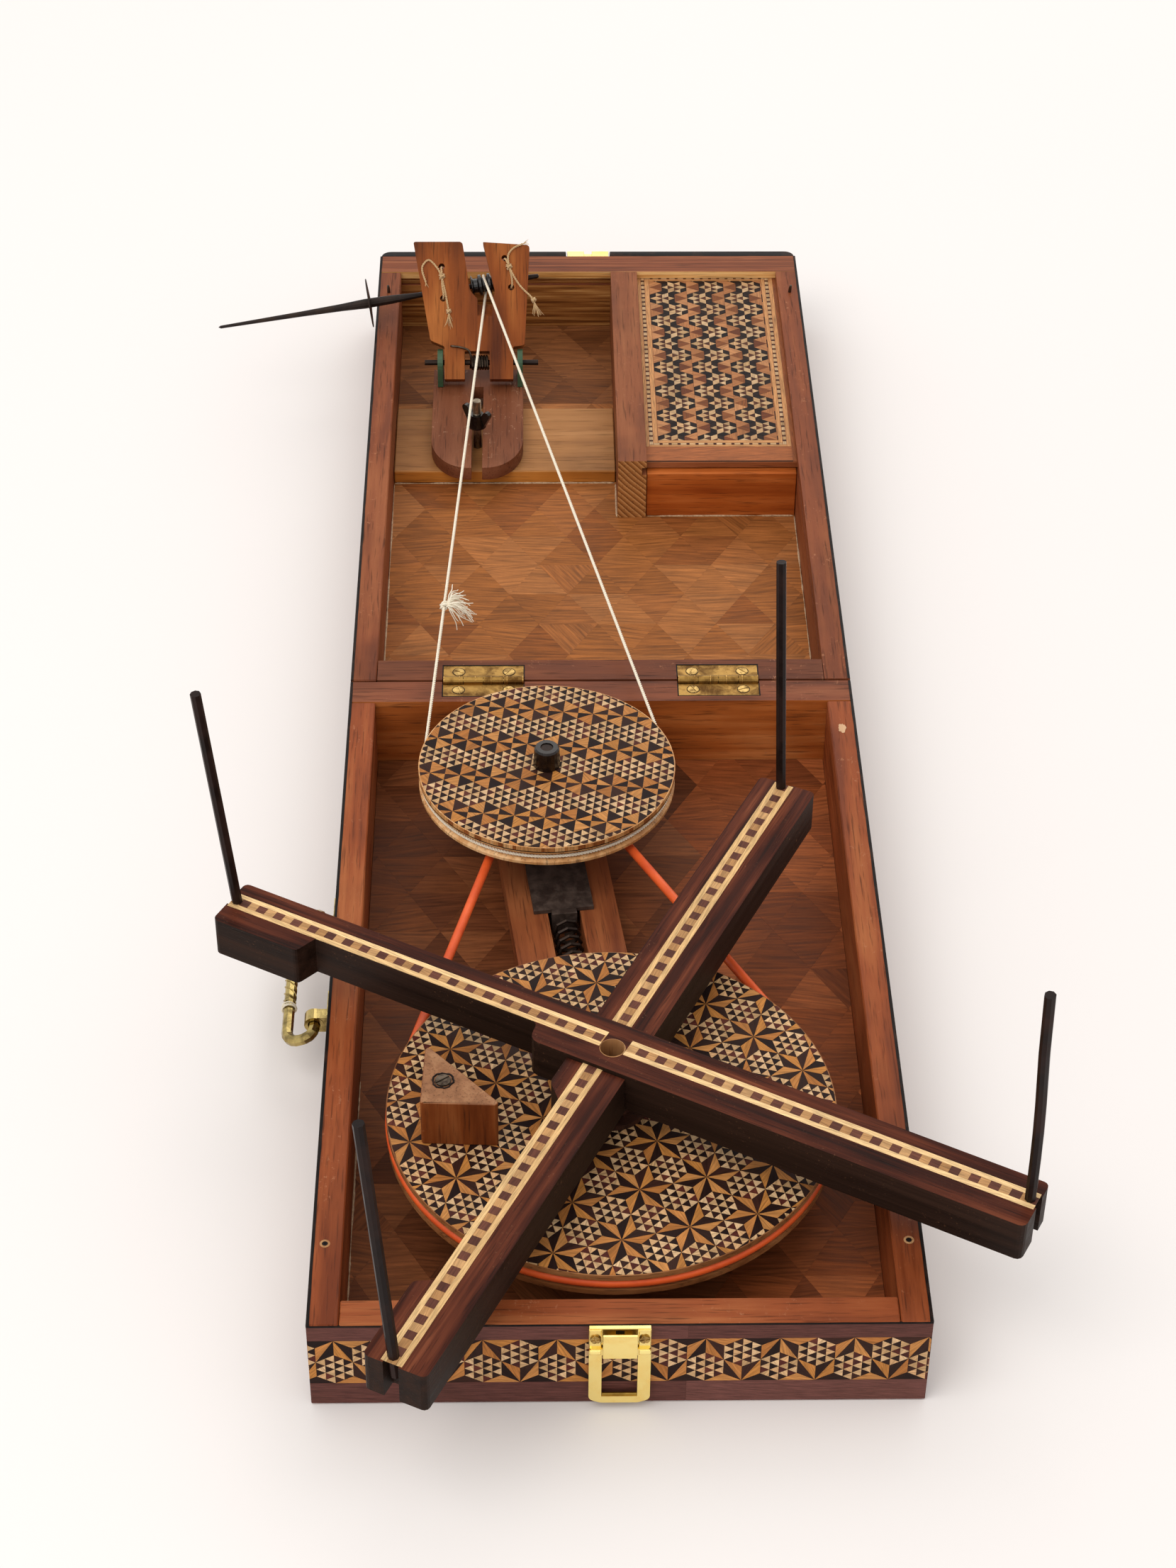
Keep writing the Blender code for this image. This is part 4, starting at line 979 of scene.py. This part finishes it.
def cover_marquetry():
    """The cover's stars and rhombi, its dashed border, and the plain strips round them."""
    c, t = 3.77, 4.33
    unit = [
        ("brown", [(0, 0), (2, -1), (2, 1)]), ("cover_tan", [(0, 0), (2, 1), (0, 2)]),
        ("cover_tan", [(0, 0), (0, -2), (2, -1)]),
        ("cream", [(2, 0), (3, -.5), (3, .5)]), ("umber", [(3, .5), (3, -.5), (4, 0)]),
        ("cream", [(4, 0), (5, -.5), (6, 0), (5, .5)]),
    ]
    for s in (1, -1):
        unit += [
            ("black", [(2, 0), (3, .5 * s), (3, 1.5 * s), (2, 1 * s)]),
            ("black", [(2, 1 * s), (3, 1.5 * s), (2, 2 * s), (1, 1.5 * s)]),
            ("cream", [(3, .5 * s), (4, 0), (4, 1 * s), (3, 1.5 * s)]),
            ("umber", [(4, 0), (5, .5 * s), (4, 1 * s)]),
            ("cream", [(4, 1 * s), (5, .5 * s), (5, 1.5 * s)]),
            ("black", [(5, .5 * s), (6, 0), (6, 1 * s), (5, 1.5 * s)]),
        ]
    tiles = []
    for row in range(-1, 8):
        for strip in range(-1, 5):
            for mirrored in (0, 1):
                y0 = 397.8 - 26.0 * row - 13.0 * mirrored
                x0 = 36.9 + 6 * c * strip
                for kind, corners in unit:
                    line = [Vector((x0 + c * ((6 - x) if mirrored else x), y0 + t * y)) for x, y in corners]
                    tiles.append((line, kind, rng.choice((0, 90, 30, 150))))
    tiles = clip_tiles(tiles, rectangle(36.9, 229.0, 105.3, 405.2))
    left, right, low, top = 31.9, 109.8, 224.4, 409.4
    for x in (left, right - 2.1):
        tiles += [(rectangle(x, y0, x + 2.1, y1), kind, 90)
                  for y0, y1, kind in dashes(low + 0.2, top, 3.2, 0.3)]
    for y in (low, top - 1.9):
        tiles += [(rectangle(x0, y, x1, y + 1.9), kind, 0)
                  for x0, x1, kind in dashes(left + 2.3, right - 2.3, 3.4, 0.2)]
    # The gap strips are painted shade: dark strips along the cover's left and near edges, for the shadow in
    # the gap round the cover.
    for kind, angle, boxes in (
            ("cover_strip", 90, ((34.1, 226.4, 36.8, 407.4), (105.4, 226.4, 107.6, 407.4))),
            ("cover_strip", 0, ((36.9, 226.4, 105.3, 228.9), (36.9, 405.3, 105.3, 407.4))),
            ("cover_strip", 90, ((29.9, 222.6, 31.8, 411.4), (109.9, 222.6, 112.4, 411.4))),
            ("cover_strip", 0, ((31.9, 222.6, 109.8, 224.3), (31.9, 409.5, 109.8, 411.4))),
            ("plain", 90, ((112.5, 207.6, 115.6, 410.4),)), ("gap", 90, ((27.6, 222.6, 29.8, 410.4),)),
            ("plain", 0, ((27.6, 208.2, 112.4, 222.4),)), ("gap", 0, ((27.6, 207.3, 112.4, 208.1),))):
        tiles += [(rectangle(*box), kind, angle) for box in boxes]
    tiles = clip_tiles(tiles, rectangle(27.5, 207.2, 116.5, 410.4))
    tile_piece("cover_marquetry", tiles, lambda u, v, h: at(u, v, COVER_TOP + h), "cover",
               shade=0.8)


cover_marquetry()


def parquet(name, window, kind, body):
    """Triangles of thin wood in rows, the grain running mostly across the tray."""
    side, tall = 32.1, 27.5
    tiles = []
    for j in range(-20, 20):
        for i in range(-8, 9):
            start = Vector((-15.5 + side * (i + (j % 2) / 2), 126.8 + tall * j))
            for first, last, small, steep in ((side, side / 2, 8, 58), (side / 2, -side / 2, -8, -55)):
                angle = rng.choice((0, 0, 0, 4, -5, small)) if rng.random() > 0.07 else steep
                corner = Vector((first, 0 if first == side else tall))
                tiles.append(([start, start + corner, start + Vector((last, tall))], kind, angle))
    # Painted shade and light: lid tiles beyond y=296 take the darker back tones, as in the shade of the end
    # wall and the fork; base tiles right of x=28 take lighter tones, as where the light falls.
    tiles = [(outline, "shaded_back_parquet" if min(p.y for p in outline) > 296 else
              "lit_parquet" if kind == "base_parquet" and min(p.x for p in outline) > 28 else k, a)
             for outline, k, a in clip_tiles(tiles, window)]
    tile_piece(name, tiles, lambda u, v, h: at(u, v, FLOOR + h), body, thickness=0.25, sink=0.1,
               gap=0.02, material=floor_inlay, jitter=0.02, spread=0.09)


parquet("lid_parquet", rectangle(-114.3, 17.4, 114.3, 408.1), "lid_parquet", "lid")
parquet("base_parquet", rectangle(-114.3, -413.1, 114.3, -17.7), "base_parquet", "base")


def arm_inlay(kind, top, turn, centre, u0, u1, body):
    """The cream and brown chequered line let into an arm's top."""
    place = turned_frame(LARGE_WHEEL.x, LARGE_WHEEL.y, top, turn)
    tiles = []
    half, core, pitch, hub = 4.7, 2.15, 4.55, 5.7
    for a, b in ((u0, -hub), (hub, u1)):
        tiles.append((rectangle(a, centre - half, b, centre - core), "line", 0))
        tiles.append((rectangle(a, centre + core, b, centre + half), "line", 0))
        u, k = a, 0
        while u < b - 0.5:
            wide = min(pitch + rng.uniform(-0.25, 0.25), b - u)
            tiles.append((rectangle(u, centre - core, u + wide, centre + core),
                          "square" if k % 2 else "pale_square", 0))
            u, k = u + wide, k + 1
    tile_piece(f"{kind}_arm_inlay", tiles, lambda u, v, h: place @ (Vector((u, v, h)) * MM), body,
               gap=0.03, thickness=0.25, sink=0.12)


UPPER_TOP, LOWER_TOP = 36.6, 34.6
arm_inlay("upper", UPPER_TOP, UPPER_TURN, 3.2, -195.2, 193.7, "winder")
arm_inlay("lower", LOWER_TOP, LOWER_TURN, 3.6, -192.7, 198.2, "winder")


# ---------------------------------------------------------------- outer veneers
BAND_LOW, BAND_HIGH, BAND_PITCH = -36.0, -9.6, 30.45
VENEER_LOW, VENEER_HIGH = -48.6, -1.4
EDGING, LIP_LOW = 1.4, -10.0


def side_veneer(name, length, place, body, shift=0.0, high=VENEER_HIGH):
    """Rosewood strips above and below a band of stars and hexagons. u runs along the side, v is z."""
    half = length / 2
    tiles = moved_tiles(star_tiles(BAND_PITCH, int(half / BAND_PITCH) + 3, 1), 0, (shift, BAND_HIGH))
    tiles = clip_tiles(tiles, rectangle(-half, BAND_LOW, half, BAND_HIGH))
    u = -half
    while u < half - 1:
        wide = min(rng.uniform(120, 190), half - u)
        tiles.append((rectangle(u, BAND_HIGH, u + wide, high), "rosewood", 0))
        tiles.append((rectangle(u, VENEER_LOW, u + wide, BAND_LOW), "rosewood", 0))
        u += wide
    tile_piece(name, tiles, place, body, gap=0.03, thickness=0.3, sink=0.14)


side_veneer("front_veneer", 255.0, lambda u, v, h: at(u, -TRAY_END - h, v), "base", 4.8)
for tray, middle, nudge in (("base", -HINGE_Y, 4.0), ("lid", HINGE_Y, 2.0)):
    for word, way in (("left", -1), ("right", 1)):
        side_veneer(f"{tray}_{word}_veneer", 426.0,
                    lambda u, v, h: at(way * (HALF_WIDTH + h), middle + way * u,
                                       v), tray, nudge + 2 + 2 * way)
side_veneer("lid_end_veneer", 255.0, lambda u, v, h: at(-u, TRAY_END + h, v), "lid", 0.0, high=-9.7)


def worn_strip(name, start, end, side, wide, low, high, body, wander=0.12):
    """A thin, slightly uneven strip let into an edge: start to end outside, side pointing inwards."""
    run = (end - start).normalized()
    count = max(2, int((end - start).length / 9))
    verts, faces = [], []
    for k in range(count + 1):
        p = start.lerp(end, k / count)
        inner = wide + rng.uniform(-wander, wander)
        top = high + rng.uniform(-0.04, 0.04)
        for u, v in ((0, low), (0, top - 0.25), (0.25, top), (inner, top), (inner, low)):
            q = p + side * u
            verts.append(at(q.x, q.y, v))
    flip = run.cross(side).z < 0
    for k in range(count):
        for j in range(5):
            m = (j + 1) % 5
            face = (5 * k + j, 5 * k + m, 5 * k + 5 + m, 5 * k + 5 + j)
            faces.append(face if flip else face[::-1])
    ends = [tuple(range(5)), tuple(5 * count + j for j in range(5))[::-1]]
    faces += [face[::-1] for face in ends] if flip else ends
    finish_piece(name, (verts, faces), edge_black, body)


def rim_edging():
    for body, near, far in (("base", -426.9, -0.9), ("lid", 0.9, 426.9)):
        for word, x in (("left", -1), ("right", 1)):
            worn_strip(f"{body}_{word}_edging", Vector((127.72 * x, near, 0)), Vector((127.72 * x, far, 0)),
                       Vector((-x, 0, 0)), EDGING, -1.4, 0.14, body)
    worn_strip("front_edging", Vector((-127.4, -427.0, 0)), Vector((127.4, -427.0, 0)), Vector((0, 1, 0)),
               0.5,
               -1.4, -0.5, "base", wander=0.02)


def far_lip():
    """The black moulding along the lid's far rim, in two lengths with the latch's keeper between them."""
    high = -0.6
    for word, side in (("left", -1), ("right", 1)):
        outline = [Vector((13.4 * side, 426.9)), Vector((127.3 * side, 426.9))]
        corner = [Vector((121.3 * side, 428.5)) + Vector((6 * side * cos(a), 6 * sin(a)))
                  for a in (pi / 2 * k / 6 for k in range(7))]
        outline += corner + [Vector((13.4 * side, 434.5))]
        if side < 0:
            outline.reverse()
        levels = ((LIP_LOW, 0.0), (high - 1.2, 0.0), (high - 0.35, 0.35), (high, 1.0))
        verts = [at(p.x, max(p.y, 426.85), level) for level, inset in levels
                 for p in (shrunk(outline, inset) if inset else outline)]
        finish_piece(f"{word}_far_lip", (verts, tube_faces(len(levels), len(outline), False)), edge_black_x,
                     "lid", True)


def keeper_flange():
    """The keeper's bent top, over the gap in the black moulding, with a notch for the latch's tongue."""
    parts = []
    for x0, x1, y1 in ((-12.7, -2.4, 434.3), (2.4, 12.7, 434.3), (-2.4, 2.4, 431.0)):
        parts.append(prism_mesh(rectangle(x0, 426.95, x1, y1), -1.9, -0.75, HINGE_LINE, 0.25))
    finish_piece("keeper_flange", parts, bright_brass, "lid")


rim_edging()
far_lip()
keeper_flange()


# ---------------------------------------------------------------- small fittings and marks
def slotted_screw(frame_m, radius, high, slot_turn, slot_width=0.7):
    """A countersunk head: a dished disc with a cut across it."""
    parts = [lathe_mesh([(radius, -0.5), (radius, high * 0.35)], 20, frame_m)]
    half = slot_width / 2
    turn = Matrix.Rotation(radians(slot_turn), 4, "Z")
    for way in (1, -1):
        edge = degrees(asin(half / (radius * 0.96)))
        bow = [polar(radius * 0.96, edge + (180 - 2 * edge) * k / 10) * way for k in range(11)]
        parts.append(prism_mesh(bow, high * 0.2, high, frame_m @ turn, 0.12))
    return join_meshes(parts)


def cross_screw(frame_m, radius, high):
    """A domed head with a cross sunk in it, as four raised quarters."""
    parts = [lathe_mesh([(radius, -0.4), (radius, high * 0.4), (radius * 0.5, high * 0.55)], 20, frame_m)]
    for k in range(4):
        turn = Matrix.Rotation(radians(90 * k + 12), 4, "Z")
        corner = Vector((0.3, 0.3))
        quarter = [corner] + [corner + polar(radius - 0.55, 90 * j / 5) for j in range(6)]
        parts.append(prism_mesh(quarter, high * 0.3, high, frame_m @ turn, 0.1))
    return join_meshes(parts)


def hinge_screws():
    for body, way in (("base", -1), ("lid", 1)):
        spots = [turned_frame(x * side, 7.5 * way, -0.35) for side in (-1, 1) for x in (46.9, 72.6)]
        parts = [slotted_screw(spot, 3.0, 0.45, rng.uniform(20, 160)) for spot in spots]
        finish_piece(f"{body}_hinge_screws", parts, screw_brass, body)
        # painted shade: a black ring round each screw head, for the shade in the countersink's gap
        sink = [(3.45, -0.6), (3.35, 0.19), (3.02, 0.22), (2.95, -0.6)]
        rings = [lathe_mesh(sink, 24, spot) for spot in spots]
        finish_piece(f"{body}_screw_shade_rings", rings, edge_black, body)
        # painted shade: black strips along three edges of each leaf's recess, for the shade in the gap
        # round the leaf
        strips = []
        for side in (-1, 1):
            for x0, x1, y0, y1 in ((38.8, 39.5, 2.8, 13.2), (80.4, 81.1, 2.8, 13.2),
                                   (38.8, 81.1, 12.6, 13.3)):
                (x0, x1), (y0, y1) = sorted((x0 * side, x1 * side)), sorted((y0 * way, y1 * way))
                strips.append(prism_mesh(rectangle(x0, y0, x1, y1), -0.9, 0.05, HINGE_LINE, 0.1))
        finish_piece(f"{body}_hinge_recess_shade", strips, edge_black_x, body)


def barrel_rings():
    """The knuckles' edges: thin rings along each hinge barrel."""
    parts = []
    for side in (-1, 1):
        for x in (39.8, 47.9, 56.0, 64.1, 72.2, 80.1):
            spin = turned_frame(x * side, 0, 0, 90, "Y")
            parts.append(lathe_mesh([(2.2, -0.35), (2.66, -0.2), (2.66, 0.2), (2.2, 0.35)], 24, spin))
    finish_piece("hinge_knuckle_rings", parts, barrel_brass, "base", True)


def facing_front(x, y, z):
    """A frame whose Z points out of the front of the box."""
    return turned_frame(x, y, z, 90, "X")


def latch_details():
    plate = facing_front(0, -429.1, 0)
    ears, screws = [], []
    for side in (-1, 1):
        low, high = sorted((7.6 * side, 12.6 * side))
        outline = rectangle(low, -13.6, high, -1.2)
        ears.append(prism_mesh(outline, -0.3, 0.5, plate, 0.3))
        knuckle = turned_frame(10.1 * side, -430.1, -13.5, 90, "Y")
        ears.append(lathe_mesh([(1.2, -2.4), (1.45, -2.15), (1.45, 2.15), (1.2, 2.4)], 20, knuckle))
        screws.append(cross_screw(facing_front(10.0 * side, -429.6, -6.3), 2.3, 0.9))
    finish_piece("latch_ears", ears, bright_brass, "base")
    finish_piece("latch_screws", screws, screw_brass, "base")
    back = rectangle(-7.2, -9.0, 7.2, -1.0)
    finish_piece("latch_back", prism_mesh(back, -0.3, 0.15, plate, 0.1), olive_brass,
                 "base")
    # painted shade: a black plate where the latch's notch opens, for the shade inside it
    notch = rectangle(-1.8, -3.8, 1.8, -1.7)
    finish_piece("latch_notch_shade", prism_mesh(notch, 0.05, 0.22, plate, 0.05), edge_black, "base")
    lip = [at(x, -429.4, -41.0) for x in (-7.2, -3, 3, 7.2)]
    finish_piece("loop_lip", tube_mesh(lip, 0.75 * MM, 10), olive_brass, "loop", True)


def locating_pins():
    parts = []
    for x, lean in ((-121.0, (-0.10, 0.05)), (121.4, (0.14, -0.06))):
        tip = Vector((x + 5 * lean[0], 384 + 5 * lean[1]))
        points = [at(x, 384, -1.5), at((x + tip.x) / 2, (384 + tip.y) / 2, 2.6), at(tip.x, tip.y, 4.8)]
        points = spline(points, 4)
        radii = [(0.95 - 0.35 * (k / (len(points) - 1)) ** 3) * MM for k in range(len(points))]
        parts.append(tube_mesh(points, radii, 12))
    finish_piece("locating_pins", parts, screw_steel, "lid", True)
    rings, hole_shades = [], []
    for x in (-122.0, 121.6):
        spot = turned_frame(x, -382.6, 0, 0)
        rings.append(lathe_mesh([(2.3, -0.3), (2.2, 0.05), (1.3, 0.09), (1.2, -0.3)], 20, spot))
        # painted shade: a black disc down each pin hole, for the dark inside of the hole
        hole_shades.append(lathe_mesh([(1.25, -0.4), (1.25, 0.03), (0.3, 0.0)], 16, spot))
    finish_piece("pin_hole_rims", rings, raw_wood, "base")
    finish_piece("pin_hole_shades", hole_shades, edge_black, "base")


def paint_chip():
    """A ragged patch of pale filler on the base's right rim."""
    outline = []
    for k in range(22):
        p = polar(1, 360 * k / 22)
        reach = 1 + rng.uniform(-0.22, 0.2)
        outline.append(Vector((120.4 + 2.1 * p.x * reach, -39.8 + 3.4 * p.y * reach)))
    finish_piece("rim_filler_patch", prism_mesh(outline, -0.2, 0.08, HINGE_LINE), filler,
                 "base")


def glue_line(points, radius):
    """A thin, uneven bead of dried glue."""
    line = resample(points, 1.6 * MM)
    radii, level = [], 1.0
    for _ in line:
        level = max(0.35, min(1.5, level + rng.uniform(-0.45, 0.45)))
        radii.append(radius * level)
    radii[0] = radii[-1] = radius * 0.3
    return tube_mesh(line, radii, 6)


GLUE = {
    "lid": ((0.5, (-113.9, 235.1), (-40, 235.2), (12.6, 235.1)), (0.45, (13.2, 201), (13.2, 234)),
            (0.45, (30.5, 201.6), (70, 201.7), (113.6, 201.6)),
            (0.4, (-114.1, 20), (-114.1, 120), (-114.1, 234)),
            (0.4, (114.1, 20), (114.1, 201))),
    "base": ((0.6, (-114.0, -412.6), (-60, -412.9), (-12, -412.9)),
             (0.5, (-114.1, -412.6), (-114.2, -340), (-114.1, -250)), (0.5, (113.9, -412.6), (60, -412.9)),
             (0.55, (-114.0, -412.9, -38), (-114.1, -413.0, -12))),
}


def glue_lines():
    for body, runs in GLUE.items():
        made = [glue_line([at(*p, *(() if p[2:] else (FLOOR + 0.2,))) for p in line], radius * MM)
                for radius, *line in runs]
        finish_piece(f"{body}_glue_lines", made, glue, body, True)


hinge_screws()
barrel_rings()
latch_details()
locating_pins()
paint_chip()
glue_lines()


def hub_and_crank():
    centre = turned_frame(LARGE_WHEEL.x, LARGE_WHEEL.y, 0, 0)
    steps = 48
    profile = [(5.55, 24.8), (5.62, 36.7), (5.3, 36.85), (5.26, 24.8)]
    verts, faces = lathe_mesh(profile, steps, centre)
    foot = [(3 * steps + k, 3 * steps + (k + 1) % steps, (k + 1) % steps, k) for k in range(steps)]
    finish_piece("bore_sleeve", (verts, faces[:-2] + foot), raw_wood, "winder", True)
    spot = turned_frame(-73.6, -314.7, 27.2, 0)
    finish_piece("crank_screw", slotted_screw(spot, 3.6, 0.7, 35, 0.9), screw_steel, "wheel")
    # painted shade: a black ring round the crank screw, for the dark recess it sits in
    shade_ring = []
    for k in range(26):
        p = polar(4.3 + rng.uniform(-0.25, 0.45), 360 * k / 26)
        shade_ring.append(spot @ (Vector((p.x, p.y, -0.05)) * MM))
    finish_piece("crank_screw_recess_shade", tube_mesh(shade_ring, 0.5 * MM, 6, True), edge_black, "wheel",
                 True)


def small_wheel_edge():
    """The veneers' ends round the small wheel's rim: short stripes, with a dark line under them."""
    radius, line_low, low, top = 62.6, 9.5, 10.1, 12.45
    around = 2 * pi * radius
    tiles, u = [], 0.0
    while u < around - 0.8:
        wide = min(rng.uniform(1.2, 5.2), around - u)
        tiles.append((rectangle(u, low, u + wide, top), "rim_stripe", 90))
        u += wide
    for k in range(60):
        tiles.append((rectangle(around * k / 60, line_low, around * (k + 1) / 60, low - 0.02), "black", 0))

    def place(u, v, h):
        p = polar(radius + h, degrees(u / radius))
        return at(SMALL_WHEEL.x + p.x, SMALL_WHEEL.y + p.y, v)

    tile_piece("small_wheel_edge", tiles, place, "speed_wheel", thickness=0.2, sink=0.12,
               gap=0.02)


def cap_disc():
    centre = turned_frame(SMALL_WHEEL.x, SMALL_WHEEL.y, 0, 0)
    profile = [(4.1, 19.0), (4.1, 22.2), (3.7, 22.6), (3.2, 22.2), (2.9, 22.0), (2.2, 22.3), (0.6, 22.35)]
    finish_piece("cap_disc", lathe_mesh(profile, 40, centre), cap_wood, "carriage", True)


hub_and_crank()
small_wheel_edge()
cap_disc()


# ---------------------------------------------------------------- fork ties, spring hook, bolt and handle
FORK = fork_frame()


def on_fork(*points):
    return [FORK @ (Vector(p) * MM) for p in points]


def frayed_end(root, aim, count, length, radius):
    """Loose fibres from a cut end."""
    aim = aim.normalized()
    side = aim.orthogonal().normalized()
    other = aim.cross(side)
    parts = []
    for _ in range(count):
        angle, open_by = rng.uniform(0, 2 * pi), rng.uniform(0.05, 0.42)
        heading = (aim + (side * cos(angle) + other * sin(angle)) * open_by).normalized()
        far = length * rng.uniform(0.6, 1.1)
        sag = heading.cross(other).normalized() * far * rng.uniform(-0.3, 0.3)
        path = [root + heading * far * t + sag * t * t for t in (0, 0.25, 0.5, 0.75, 1.0)]
        parts.append(tapered_tube(path, radius, 0.55))
    return parts


TIES = {
    "left_tie": {
        "cords": (
            ((-21.7, 55.9, -6.6), (-21.7, 55.9, 3.0), (-21.8, 54.2, 6.6), (-21.5, 49.9, 7.0)),
            ((-21.5, 49.9, 7.2), (-24.8, 55.5, 6.8), (-29.2, 59.5, 6.6), (-32.7, 56.5, 6.4),
             (-33.0, 52.7, 6.3), (-31.1, 46.7, 6.2)),
            ((-21.5, 49.9, 7.2), (-21.0, 46.7, 6.6), (-19.6, 40.6, 6.5), (-18.6, 35.0, 6.4),
             (-17.6, 29.4, 6.4)),
            ((-20.9, 37.1, -6.6), (-20.9, 37.1, 3.0), (-20.6, 39.0, 6.5), (-21.3, 44.0, 6.8),
             (-21.5, 49.0, 7.0)),
            ((-21.7, 55.9, -6.4), (-21.6, 51.0, -7.2), (-21.2, 42.0, -7.2), (-20.9, 37.1, -6.4))),
        "knots": (((-21.5, 49.9, 7.2), (0.1, -1, 0), 1.25), ((-17.6, 29.4, 6.6), (0.15, -1, 0), 1.0)),
        "ends": (((-31.1, 46.7, 6.2), (0.3, -1, -0.05), 7, 3.5, 0.17),
                 ((-17.6, 28.6, 6.6), (0.05, -1, 0.0), 16, 9.0, 0.2))},
    "right_tie": {
        "cords": (
            ((15.4, 60.8, -6.6), (15.4, 60.8, 3.0), (16.4, 59.5, 6.6), (18.0, 55.5, 7.0)),
            ((18.0, 55.5, 7.2), (17.5, 62.0, 6.8), (20.5, 66.4, 6.6), (26.0, 69.0, 6.4)),
            ((18.0, 55.5, 7.2), (19.4, 50.0, 6.7), (19.8, 45.6, 5.9), (19.2, 43.6, 2.6),
             (19.2, 43.6, -6.6)),
            ((18.0, 55.5, 7.2), (21.3, 49.0, 6.8), (25.2, 43.4, 6.7), (30.0, 38.7, 6.6), (32.4, 35.9, 6.6)),
            ((15.4, 60.8, -6.4), (16.2, 56.0, -7.2), (18.2, 48.0, -7.2), (19.2, 43.6, -6.4))),
        "knots": (((18.0, 55.5, 7.2), (0.3, -1, 0), 1.25), ((32.4, 35.9, 6.8), (0.5, -1, 0), 1.0)),
        "ends": (((26.0, 69.0, 6.4), (1, 0.4, 0.1), 8, 4.0, 0.17),
                 ((32.6, 35.2, 6.6), (0.35, -1, 0.0), 16, 9.5, 0.2))},
}


def make_ties():
    turn = FORK.to_3x3()
    for name, tie in TIES.items():
        parts = [twisted_mesh(spline(on_fork(*line), 6), 0.62 * MM, 2.6 * MM) for line in tie["cords"]]
        parts += [knot_mesh(on_fork(spot)[0], turn @ Vector(aim), radius * MM, 0.6 * MM, 2.6 * MM, 36, 0.15)
                  for spot, aim, radius in tie["knots"]]
        for root, aim, count, length, radius in tie["ends"]:
            parts += frayed_end(on_fork(root)[0], turn @ Vector(aim), count, length * MM, radius * MM)
        finish_piece(f"{name}_twine", parts, twine, "fork", True, [name])


def spring_hook():
    line = spline(on_fork((-4.6, -1.5, 2.6), (-4.7, 2.6, 5.2), (-6.0, 6.2, 6.5), (-10.5, 8.0, 6.5),
                          (-15.0, 8.7, 6.4),
                          (-16.2, 8.9, 5.6), (-16.4, 8.9, 3.4)), 5)
    finish_piece("spring_hook", tube_mesh(line, 0.62 * MM, 10), screw_steel, "fork", True)


def bolt_thread():
    points = []
    for k in range(int(16 * 11)):
        p = polar(2.36, 360 * k / 16)
        points.append(at(-66.5 + p.x, 261.0 + p.y, -7.4 + 0.8 * k / 16))
    finish_piece("bolt_thread", tube_mesh(points, 0.17 * MM, 5), bolt_steel, "lid", True)


def handle_details():
    droop = radians(25)
    out, down = -135.5 - 14 * cos(droop), -22 - 14 * sin(droop)
    ridges = []
    for start in (0, 120, 240):
        line = []
        for k in range(49):
            p = polar(2.74, start + 360 * k / 22)
            line.append(at(out + p.x, -209 + 30 * k / 48, down + p.y))
        ridges.append(tube_mesh(line, 0.36 * MM, 7))
    finish_piece("bail_twist", ridges, handle_brass, "bail", True)
    wraps = []
    for k in range(3 * 14):
        angle = 360 * k / 14
        p = polar(3.3 + 0.1 * sin(k), angle)
        wraps.append(at(out + p.x, -213.0 + 0.85 * k / 14 + 0.3 * sin(angle / 40), down + p.y))
    last = wraps[-1]
    wraps += [last + Vector((-1.4, 1.8, -0.6)) * MM, last + Vector((-2.0, 4.6, -2.4)) * MM]
    finish_piece("handle_thread", twisted_mesh(wraps, 0.42 * MM, 1.8 * MM, False, 5), cotton, "bail",
                 True)


make_ties()
spring_hook()
bolt_thread()
handle_details()


# ---------------------------------------------------------------- floor, light and world
def make_stage():
    net = Net("studio_floor", roughness=0.85, specular=0.1)
    tone = net.noise(net.coords(), 3, 2)
    colour = net.ramp(tone, [(0.0, (236, 231.5, 230)), (1.0, (237, 232.5, 231))])
    net.put(net.bsdf.inputs["Base Color"], colour)
    verts = [(-6, -6, -0.0004), (6, -6, -0.0004), (6, 6, -0.0004), (-6, 6, -0.0004)]
    mesh = bpy.data.meshes.new("studio_floor")
    mesh.from_pydata(verts, [], [(0, 1, 2, 3)])
    mesh.materials.append(net.mat)
    add_object("studio_floor", mesh)
    world = bpy.data.worlds.new("studio")
    SCENE.world = world
    world.use_nodes = True
    background = world.node_tree.nodes["Background"]
    background.inputs[0].default_value = (1.0, 0.985, 0.962, 1)
    background.inputs[1].default_value = 0.94
    for name, place, aim, size, power in (
            ("key_light", (-1.1, -0.9, 2.3), (0, 0.0, 0), 1.8, 23),
            ("back_light", (0.5, 2.0, 1.8), (0, 0.1, 0), 1.6, 10)):
        data = bpy.data.lights.new(name, "AREA")
        data.size, data.energy = size, power
        data.color = (1.0, 0.97, 0.93)
        light = add_object(name, data)
        light.location = place
        light.rotation_euler = (Vector(aim) - Vector(place)).to_track_quat("-Z", "Y").to_euler()
    SCENE.view_settings.view_transform = "Standard"
    SCENE.view_settings.look = "None"


make_stage()
